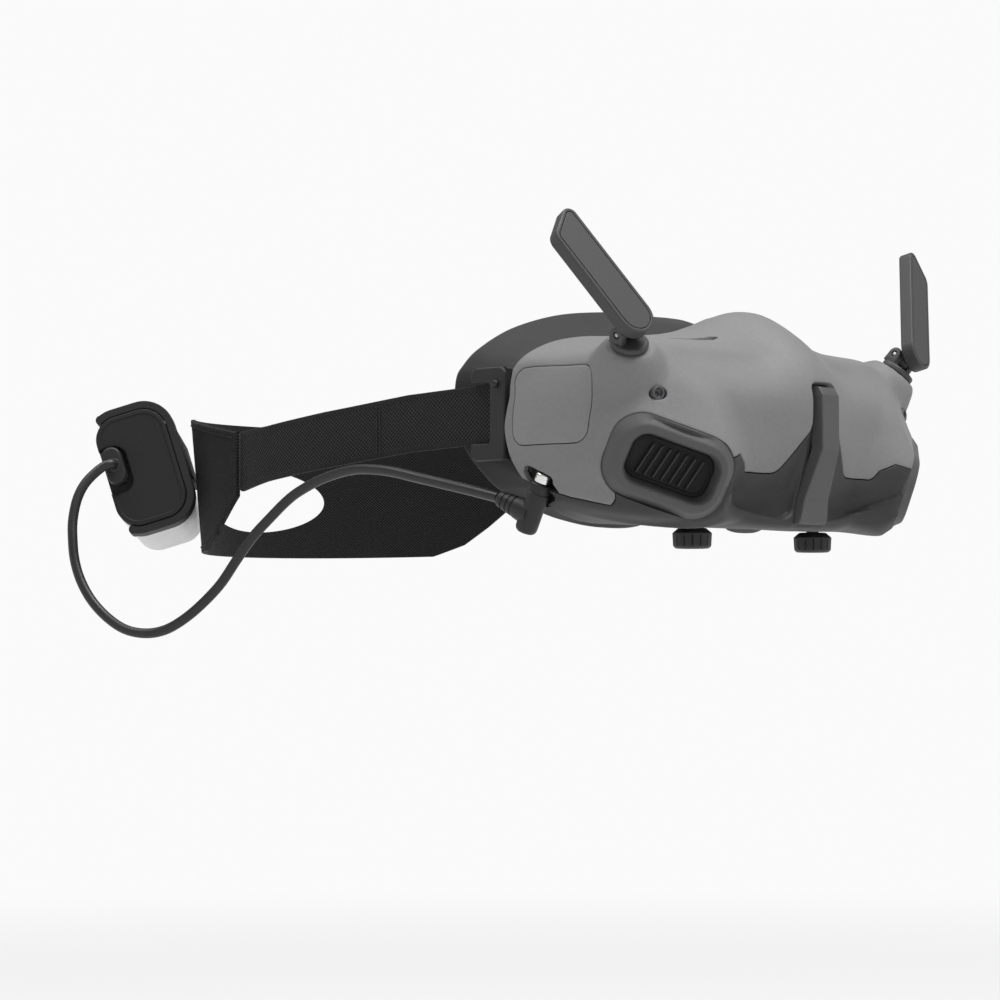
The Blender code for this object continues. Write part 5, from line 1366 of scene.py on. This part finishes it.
# ---------------------------------------------------------------- strap anchors, straps and the rear cradle
STRAP_PATH = [(79.0, 1.6), (78.7, 20), (78.2, 40), (77.9, 60), (77.8, 80), (77.2, 100), (75.2, 114), (71.6, 127)]
STRAP_Z = [(1.6, 2.0), (40, 0.3), (80, -3.6), (127, -9.0)]
STRAP_T = 1.6
dense = np.array([catmull(STRAP_PATH, t) for t in np.linspace(0, 7, 500)])
d_len = np.concatenate([[0], np.cumsum(np.linalg.norm(np.diff(dense, axis=0), axis=1))])
STRAP_L = float(d_len[-1])
d_dir = np.gradient(dense, axis=0)
d_dir /= np.linalg.norm(d_dir, axis=1, keepdims=True)
d_nrm = np.stack([d_dir[:, 1], -d_dir[:, 0]], -1)


def strap_pos(side, lift):
    def pos(u, v):
        x, y = np.interp(u, d_len, dense[:, 0]), np.interp(u, d_len, dense[:, 1])
        nx, ny = np.interp(u, d_len, d_nrm[:, 0]), np.interp(u, d_len, d_nrm[:, 1])
        z = np.interp(y, [a for a, _ in STRAP_Z], [b for _, b in STRAP_Z])
        half = np.interp(y, [0, 110, 127], [9.7, 9.7, 10.6])
        return np.stack([side * (x + nx * lift), y + ny * lift, z + v / 9.7 * half], -1)
    return pos


def stitches(name, form, line, pitch, length, r, mat, lift=0.12):
    """Row of small thread stitches lying on a form along a line of (u, v)."""
    fine = form.resample(np.asarray(line, float), 0.25, False)
    p = form.pos(fine[:, 0], fine[:, 1])
    ln = np.concatenate([[0], np.cumsum(np.linalg.norm(np.diff(p, axis=0), axis=1))])
    nrm = form.normal(fine[:, 0], fine[:, 1])
    pts, faces = [], []
    for k in range(int(ln[-1] / pitch)):
        a0 = k * pitch + 0.4
        row = []
        for f, h in ((0, -0.18), (0.2, 0.6), (0.5, 1.0), (0.8, 0.6), (1, -0.18)):
            s = a0 + f * length
            c = np.array([np.interp(s, ln, p[:, i]) for i in range(3)])
            m = np.array([np.interp(s, ln, nrm[:, i]) for i in range(3)])
            row.append((c + m * lift * h, m))
        d = row[-1][0] - row[0][0]
        d /= np.linalg.norm(d)
        base = len(pts)
        for c, m in row:
            b = np.cross(d, m)
            for w in range(6):
                a = math.tau * w / 6
                pts.append(tuple(c + r * (b * math.cos(a) + m * math.sin(a))))
        for i in range(4):
            for w in range(6):
                a, b = base + i * 6 + w, base + i * 6 + (w + 1) % 6
                faces.append((a, b, b + 6, a + 6))
        faces.append(tuple(base + w for w in range(6)))
        faces.append(tuple(base + 24 + w for w in range(5, -1, -1)))
    return fix_normals(new_object(name, pts, faces, mat, None, 60))


def strap_height(p, u, v):
    band = 0.10 * ramp(np.abs(v), 7.95, 8.15)
    wave = 0.05 * np.sin(u * 0.21) * np.cos(v * 0.35)
    thread = -0.10 * (1 - ramp(np.abs(u - 52.0), 0.35, 0.7))
    weave = 0.085 * np.cos(u * math.tau / 1.60) * np.cos(v * math.tau / 1.40) * (np.abs(v) < 7.9)
    return (band + wave + thread + weave - 0.12) * ramp(u, 0.0, 1.0)


for side, word in ((-1, "right"), (1, "left")):
    am = frame_of((0, 0, 0), (0, 1, 0), (0, 0, 1), (side, 0, 0))
    win = [(8.6, -7.9), (1.6, -7.9), (0.7, -7.6), (0.4, -6.8), (0.4, 10.8), (0.7, 11.6), (1.6, 11.9), (8.6, 11.9)]
    out_l = [q for q in rounded_rect(7.4, 15.25, 2.6, 8, 1.2, 1.75)]
    k0 = max(range(len(out_l)), key=lambda i: (out_l[i][0] > 8.59) * (20 - abs(out_l[i][1] - 14.4)))
    c_out = out_l[k0:] + out_l[:k0]
    lo_y, hi_y = [q for q in c_out if q[1] > 11.9 or q[0] < 8.59 or q[1] < -7.9], win
    slab = stack("slab", lo_y + hi_y, [(0.3, 80.36), (0, 80.4), (0, 81.2), (0.1, 81.6), (0.35, 81.85), (0.7, 82.0)], ANCH, am, sharp=50)
    c_loop = [(-6.0, -13.1), (-5.6, -13.5), (8.2, -13.5), (8.6, -13.1), (8.6, -8.35), (-0.2, -8.35), (-0.2, 12.35), (8.6, 12.35), (8.6, 16.6), (8.2, 17.0), (-5.6, 17.0), (-6.2, 16.4)]
    back = stack("back", c_loop, [(0.25, 77.8), (0, 78.05), (0, 80.45)], ANCH, am, sharp=40)
    put(join(f"anchor_{word}", slab, back), "goggles", "seal_rubber", f"strap_anchor_{word}")
    peg_m = frame_of((side * 82.0, -2.6, 11.4), (0, 1, 0), (0, 0, side), (side, 0, 0))
    peg = revolve(f"peg_{word}", [(0, 1.5), (0.7, 1.46), (1.05, 1.3), (1.28, 0.95), (1.3, 0.5), (1.22, 0.1), (1.22, -0.25), (0, -0.25)], BLACK, peg_m, 32)
    put(peg, "goggles", "black_plastic", f"strap_peg_{word}")
    form = Form(strap_pos(side, 0.8), 0, STRAP_L, -9.7, 9.7)
    if form.normal(np.array([60.0]), np.array([0.0]))[0][0] * side < 0:
        form.sign = -1.0
    keep = [(u, -9.7) for u in np.linspace(0, STRAP_L, 120)] + [(u, 9.7) for u in np.linspace(STRAP_L, 0, 120)]
    web = sheet_mesh(f"strap_{word}", form, keep, [], np.linspace(0, STRAP_L, 330), np.linspace(-9.7, 9.7, 50), 1.6, WEB, 0.35,
                     height=strap_height, near=0.3, step=0.6, sharp=60)
    rows = [stitches("st", form, [(52.0 + o, -9.0), (52.0 + o, 9.0)], 1.7, 1.25, 0.14, THREAD) for o in (-0.7, 0.7)]
    zz = np.linspace(-10.2, 10.2, 20)
    end = strap_pos(side, 0.0)(np.full(20, STRAP_L), zz * 9.7 / 10.6)
    end[:, 1] += 0.42
    end[:, 0] += side * 0.75
    pipe = tube_along("pipe", end, np.full(20, 0.62), WEB, 12)
    put(join(f"strap_{word}_woven", web, *rows, pipe), "goggles", "strap_webbing", f"side_strap_{word}")


def cradle_pos(a, b, c=0.5):
    y_seam = np.sin(a)
    back = np.maximum(0.0, y_seam)
    top = np.interp(back, [0.25, 0.33, 0.5, 0.8, 1.0], [1.6, 1.6, 4.5, 9.5, 10.0])
    bot = np.interp(back, [0.25, 0.29, 0.40, 0.50, 0.62, 1.0], [-19.6, -19.8, -28.5, -35.5, -40.0, -41.0])
    z = (top + bot) / 2 + b * (top - bot) / 2
    depth = np.interp(back, [0.27, 0.6, 1.0], [0.0, 1.0, 1.0])
    rb = 100.0 + depth * (1.5 + 0.16 * (z + 10))
    x, y = 77.0 * np.cos(a), 96.6 + rb * y_seam
    nx, ny = np.cos(a) / 77.0, y_seam / rb
    ln = np.hypot(nx, ny)
    off = c * STRAP_T
    return np.stack([x + nx / ln * off, y + ny / ln * off, z], -1)


A0 = 0.3145
cr_form = Form(cradle_pos, A0, math.pi - A0, -1, 1)
if cr_form.normal(np.array([math.pi / 2]), np.array([0.5]))[0][1] < 0:
    cr_form.sign = -1.0
opening = [(math.pi / 2 + 0.42 * math.cos(a), -0.12 + 0.5 * math.sin(a)) for a in np.linspace(0, math.tau, 73)[:-1]]
aa = np.linspace(A0, math.pi - A0, 150)
keep = [(a, -1) for a in aa] + [(math.pi - A0, b) for b in np.linspace(-1, 1, 20)[1:-1]] + [(a, 1) for a in aa[::-1]] + [(A0, b) for b in np.linspace(1, -1, 20)[1:-1]]
mid = cradle_pos(aa, np.zeros(150))
mid_l = np.concatenate([[0], np.cumsum(np.linalg.norm(np.diff(mid[:, :2], axis=0), axis=1))])
rim_s = np.concatenate([cr_form.pos(*cr_form.resample(lp, 0.5).T) for lp in (keep, opening)])


def hem(p, u, v):
    d = nearest(p, rim_s)
    groove = -0.22 * (1 - ramp(np.abs(d - 2.3), 0.18, 0.5))
    knit = 0.05 * np.cos(np.interp(u, aa, mid_l) * math.tau / 2.60) * np.cos(p[:, 2] * math.tau / 2.20) * (d > 2.6)
    return groove + knit - 0.10 - 0.18 * ramp(d, 2.2, 3.2)


def cradle_uv(u, v):
    p = cradle_pos(u, v)
    return np.stack([np.interp(u, aa, mid_l), p[:, 2] * 1.0 + 60], -1)


cradle = sheet_mesh("cradle", cr_form, keep, [opening], np.linspace(A0, math.pi - A0, 300), np.linspace(-1, 1, 56), 1.6, KNIT, 0.45,
                    [(inset2(ccw(opening), -q), True) for q in (0.012, 0.024)], height=hem, near=0.3, step=0.8, sharp=60, uvf=cradle_uv)
ring = np.array(opening)
hem_o = [(math.pi / 2 + (x - math.pi / 2) * 1.043, -0.12 + (y + 0.12) * 1.14) for x, y in opening + opening[:1]]
st_rows = [stitches("st", cr_form, hem_o, 2.0, 1.5, 0.13, THREAD, 0.05)]
for b, sgn in ((-1, 1), (1, -1)):
    run = []
    for a in np.linspace(A0 + 0.02, math.pi - A0 - 0.02, 120):
        q = cradle_pos(np.array([a, a]), np.array([-1.0, 1.0]))
        run.append((a, b + sgn * 2 * 2.1 / (q[1][2] - q[0][2])))
    st_rows.append(stitches("st", cr_form, run, 2.0, 1.5, 0.13, THREAD, 0.05))
cr = join("rear_cradle_knit", cradle, *st_rows)
area_cr = sum(f.area for f in cradle_mesh.polygons) if (cradle_mesh := cr.data) else 0
put(cr, "goggles", "strap_webbing", "rear_cradle")

# ---------------------------------------------------------------- battery, its cap, clip and button
bx, by, bz = (np.array(v) for v in (THICK, TALL, LONG))
near_c = np.array(NEAR)
cap_form = Form(lambda u, v: near_c + u[..., None] * bx + v[..., None] * by, -13, 13, -20.5, 20.5)
if cap_form.normal(np.array([0.0]), np.array([0.0]))[0] @ bz > 0:
    cap_form.sign = -1.0
cap_loop = rounded_rect(13, 20.5, 8.6, 16, 0, 0, 10)
recess = [(u, v) for u, v in rounded_rect(5.6, 8.6, 4.4, 10, 9.6, 1.6)]


def cap_height(p, u, v):
    d = nearest(np.stack([u, v], -1), np.array(cap_form.resample(cap_loop, 0.3)))
    return -0.25 * ramp(d, 1.5, 1.8)


cap_a = sheet_mesh("cap_face", cap_form, cap_loop, [recess], np.linspace(-13, 13, 36), np.linspace(-20.5, 20.5, 56), 3.5, CAPM, 0.55,
                   [(inset2(ccw(cap_loop), q), True) for q in (1.5, 1.8)], height=cap_height)
cap_b = stack("cap_back", cap_loop, [(0.12, ZS * 3.45), (0, ZS * 3.6), (0, ZS * 6.8), (0.2, ZS * 7.0)], CAPM, batt_m)
put(join("power_cap", cap_a, cap_b), "goggles", "black_plastic", "battery_cap")
pack = stack("power_pack", cap_loop, [(d, ZS * z) for d, z in round_levels(7.35, 73.0, 1.6, 5, 0.5)], BATT, batt_m, crown=0.0)
btn_m = frame_of(NEAR + THICK * (BT / 2) + LONG * 22.0 + TALL * 4.0, TALL, LONG, THICK)
well = revolve("well", [(0, -1.6), (4.3, -1.6), (4.3, -0.2), (4.6, 0.1), (5.2, 3), (0, 3)], BLACK, btn_m, 48)
bo = pack.modifiers.new("well", "BOOLEAN")
bo.operation, bo.object, bo.solver = "DIFFERENCE", well, "EXACT"
pack.modifiers.move(len(pack.modifiers) - 1, 0)
bpy.context.view_layer.update()
cut = bpy.data.meshes.new_from_object(pack.evaluated_get(bpy.context.evaluated_depsgraph_get()))
pack.modifiers.clear()
pack.data = cut
pack.data.shade_smooth()
pack.data.set_sharp_from_angle(angle=math.radians(38))
w = pack.modifiers.new("weighted", "WEIGHTED_NORMAL")
w.keep_sharp = True
bpy.data.objects.remove(well, do_unlink=True)
put(pack, "goggles", "battery_grey", "battery_body")
btn = revolve("power_switch", [(0, -0.7), (3.7, -0.7), (3.9, -0.5), (3.9, 0.4), (3.75, 0.62), (3.45, 0.7), (3.1, 0.66), (2.8, 0.5), (1.5, 0.42), (0, 0.4)], BLACK, btn_m, 56)
put(btn, "button", "black_plastic", "power_button")

outer, inner = rounded_rect(BT / 2 + 3.0, BH / 2 + 3.0, 11.4, 16, 0, 0, 12), rounded_rect(BT / 2 + 0.1, BH / 2 + 0.1, 8.7, 16, 0, 0, 12)


def sweep_order(pts):
    return sorted((q for q in pts if q[0] < 9.5), key=lambda q: math.atan2(q[1], -q[0]))


a_o, a_i = sweep_order(outer), sweep_order(inner)[::-1]


def round_end(p, q, n=7):
    """Half circle joining two ends of the clip's band."""
    p, q = np.array(p), np.array(q)
    c, r = (p + q) / 2, np.linalg.norm(q - p) / 2
    d = (p - c) / r
    e = np.array([1.0, 0.0])
    e = e - d * (e @ d)
    e /= np.linalg.norm(e)
    return [tuple(c + r * (d * math.cos(w) + e * math.sin(w))) for w in np.linspace(0, math.pi, n + 2)[1:-1]]


c_loop = a_o + round_end(a_o[-1], a_i[0]) + a_i + round_end(a_i[-1], a_o[0])
clip = stack("clip_band", c_loop, [(0.62, ZS * 0.3), (0.25, ZS * 0.42), (0.05, ZS * 0.75), (0, ZS * 1.1), (0, ZS * 8.4), (0.1, ZS * 8.75), (0.45, ZS * 9.0)], CLIPM, batt_m)
plate = stack("clip_plate", rounded_rect(1.0, 8.5, 0.8, 5, -BT / 2 - 1.5, 4.5), [(0.25, ZS * 2.0), (0, ZS * 2.3), (0, ZS * 61.5), (0.3, ZS * 62.0)], CLIPM, batt_m)
put(join("pack_clip", clip, plate), "goggles", "black_plastic", "battery_clip")

# ---------------------------------------------------------------- plugs at both ends of the lead
plug_m = frame_of(PLUG_C, THICK, TALL, THICK.cross(TALL))
lv = [(0.35, 3.1), (0, 2.8), (0, -1.1), (0.32, -1.25), (0.32, -1.65), (0, -1.8), (0, -3.1), (0.12, -3.6), (0.5, -3.95), (1.0, -4.1)]
plug = stack("pack_plug", rounded_rect(3.6, 6.8, 3.5, 12), [(d, ZS * z) for d, z in lv], PLUGM, plug_m, sharp=50)
collar = revolve("collar", [(0, -3.9), (2.6, -3.9), (2.5, -4.25), (2.15, -4.45), (0, -4.48)], PLUGM, frame_of(PLUG_C, THICK, TALL, LONG), 40)
plug_o = put(join("pack_plug_moulding", plug, collar), "goggles", "black_plastic", "battery_plug")
barrel_m = frame_of(SOCK, (1, 0, 0), AX.cross(Vector((1, 0, 0))), AX)
prof = [(0, -18.2), (1.6, -18.15), (2.7, -17.85), (3.3, -17.3), (3.6, -16.4), (3.65, -15.2), (3.65, -4.3), (3.42, -4.1), (3.42, -3.6), (3.65, -3.4), (3.65, -1.1), (3.5, -0.85), (3.2, -0.7), (0, -0.7)]
body = revolve("elbow_body", prof, PLUGM, barrel_m, 48)
arm_start = SOCK - AX * 11.6
arm_v = np.array(ARM_END) - np.array(arm_start)
arm_l = np.linalg.norm(arm_v)
fs = np.array([0.0, 0.12, 0.28, 0.40, 0.45, 0.455, 0.50, 0.505, 0.60, 0.605, 0.65, 0.655, 0.76, 0.765, 0.81, 0.815, 0.93, 0.975])
rs = np.array([4.1, 4.1, 3.95, 3.7, 3.55, 3.2, 3.2, 3.45, 3.3, 2.95, 2.95, 3.2, 3.0, 2.65, 2.65, 2.9, 2.6, 2.2])
arm = tube_along("elbow_arm", np.array(arm_start) + fs[:, None] * arm_v, rs, PLUGM, 40)
elbow = put(join("elbow_moulding", body, arm), "goggles", "black_plastic", "elbow_plug")
tip = revolve("contact_tip", [(0, 2.6), (2.2, 2.6), (2.55, 2.45), (2.7, 2.2), (2.7, 1.5), (2.55, 1.4), (2.55, 1.1), (2.7, 1.0), (2.7, -0.3), (0, -0.3)], METAL, barrel_m, 40)
tip_o = put(tip, "goggles", "metal", "plug_tip")

# ---------------------------------------------------------------- finish on the pieces carried over from the model
for key, mat, width in (
    ("micro_display_right", DISPLAY, 0.25), ("micro_display_left", DISPLAY, 0.25), ("lens_carriage_right", DARK, 0.3), ("lens_carriage_left", DARK, 0.3),
    ("guide_rod_right", STEEL, 0.2), ("guide_rod_left", STEEL, 0.2), ("main_board", BOARD, 0.1), ("heat_sink", FINS, 0.12),
    ("fan_housing", BLACK, 0.25), ("fan_rotor", BLACK, 0.12),
):
    o = NODES[key]
    if not hasattr(o, "data"):
        o = bpy.data.objects[o if isinstance(o, str) else key]
    o.data.materials.clear()
    o.data.materials.append(mat)
    bv = o.modifiers.new("edges", "BEVEL")
    bv.width, bv.segments, bv.limit_method, bv.angle_limit = width * MM, 2, "ANGLE", math.radians(40)
    bv.use_clamp_overlap = True


# power socket: the carried-over housing with a flange that closes the notch behind the plug
sock_o = NODES["power_socket"]
sock_me = sock_o.data.copy()
sock_me.materials.clear()
sock_me.materials.append(INNER)
sock_c = bpy.data.objects.new("socket_core", sock_me)
scene.collection.objects.link(sock_c)
flange = stack("flange", rounded_rect(8.6, 8.35, 1.0, 5, -21.85, -20.85), [(0.3, -76.5), (0, -76.3), (0, -75.4), (0.3, -75.2)], INNER, frame_of((0, 0, 0), (0, 1, 0), (0, 0, 1), (1, 0, 0)))
put(join("socket_housing", sock_c, flange), "goggles", "black_plastic", "power_socket")
# ---------------------------------------------------------------- light, floor and background
scene.view_settings.view_transform = "Standard"
scene.view_settings.look = "None"
scene.view_settings.exposure = 0.0
scene.cycles.use_denoising = True


def area(name, loc, target, size, power, size_y=None):
    li = bpy.data.lights.new(name, "AREA")
    li.energy, li.size = power, size
    if size_y:
        li.shape, li.size_y = "RECTANGLE", size_y
    o = bpy.data.objects.new(name, li)
    o.location = loc
    d = Vector(target) - Vector(loc)
    o.rotation_euler = d.to_track_quat("-Z", "Y").to_euler()
    scene.collection.objects.link(o)
    return o


HORIZON = 0.96
world = bpy.data.worlds.new("studio")
scene.world = world
world.use_nodes = True
nt = world.node_tree
nt.nodes.clear()
w_out = nt.nodes.new("ShaderNodeOutputWorld")
bg = nt.nodes.new("ShaderNodeBackground")
geo = nt.nodes.new("ShaderNodeNewGeometry")
sep = nt.nodes.new("ShaderNodeSeparateXYZ")
mr = nt.nodes.new("ShaderNodeMapRange")
ramp_n = nt.nodes.new("ShaderNodeValToRGB")
nt.links.new(geo.outputs["Incoming"], sep.inputs[0])
nt.links.new(sep.outputs["Z"], mr.inputs["Value"])
mr.inputs["From Min"].default_value, mr.inputs["From Max"].default_value = -1.0, 1.0
mr.inputs["To Min"].default_value, mr.inputs["To Max"].default_value = 1.0, 0.0
nt.links.new(mr.outputs[0], ramp_n.inputs[0])
stops = [(0.0, 0.20), (0.36, 0.22), (0.46, HORIZON), (0.605, HORIZON), (0.665, 0.22), (1.0, 0.5)]
el = ramp_n.color_ramp.elements
el[0].position, el[0].color = stops[0][0], (stops[0][1] / 2,) * 3 + (1,)
el[1].position, el[1].color = stops[-1][0], (stops[-1][1] / 2,) * 3 + (1,)
for p, v in stops[1:-1]:
    q = el.new(p)
    q.color = (v / 2,) * 3 + (1,)
nt.links.new(ramp_n.outputs[0], bg.inputs["Color"])
bg.inputs["Strength"].default_value = 2.0
nt.links.new(bg.outputs[0], w_out.inputs[0])

area("key", (0.05, -0.72, 1.72), (0, -0.03, 0), 0.7, 34)
area("top", (-0.4, 0.45, 1.5), (0, 0.05, 0), 1.0, 14)

bm = bmesh.new()
bmesh.ops.create_circle(bm, cap_ends=True, radius=9.0, segments=96)
me = bpy.data.meshes.new("floor")
bm.to_mesh(me)
bm.free()
g = bpy.data.materials.new("floor_paint")
g.use_nodes = True
fnt = g.node_tree
fnt.nodes.clear()
fo = fnt.nodes.new("ShaderNodeOutputMaterial")
fd = fnt.nodes.new("ShaderNodeBsdfDiffuse")
fe = fnt.nodes.new("ShaderNodeEmission")
fm = fnt.nodes.new("ShaderNodeMixShader")
fg = fnt.nodes.new("ShaderNodeNewGeometry")
fl = fnt.nodes.new("ShaderNodeVectorMath")
fl.operation = "LENGTH"
fr = fnt.nodes.new("ShaderNodeMapRange")
fr.interpolation_type = "SMOOTHSTEP"
fr.inputs["From Min"].default_value, fr.inputs["From Max"].default_value = 0.35, 1.5
fd.inputs["Color"].default_value = (0.74, 0.74, 0.74, 1)
fe.inputs["Color"].default_value = (HORIZON, HORIZON, HORIZON, 1)
fe.inputs["Strength"].default_value = 1.0
fnt.links.new(fg.outputs["Position"], fl.inputs[0])
fnt.links.new(fl.outputs["Value"], fr.inputs["Value"])
fnt.links.new(fr.outputs[0], fm.inputs[0])
fnt.links.new(fd.outputs[0], fm.inputs[1])
fnt.links.new(fe.outputs[0], fm.inputs[2])
fnt.links.new(fm.outputs[0], fo.inputs[0])
me.materials.append(g)
floor = bpy.data.objects.new("floor", me)
floor.location = (0, 0.1, -0.27)
scene.collection.objects.link(floor)
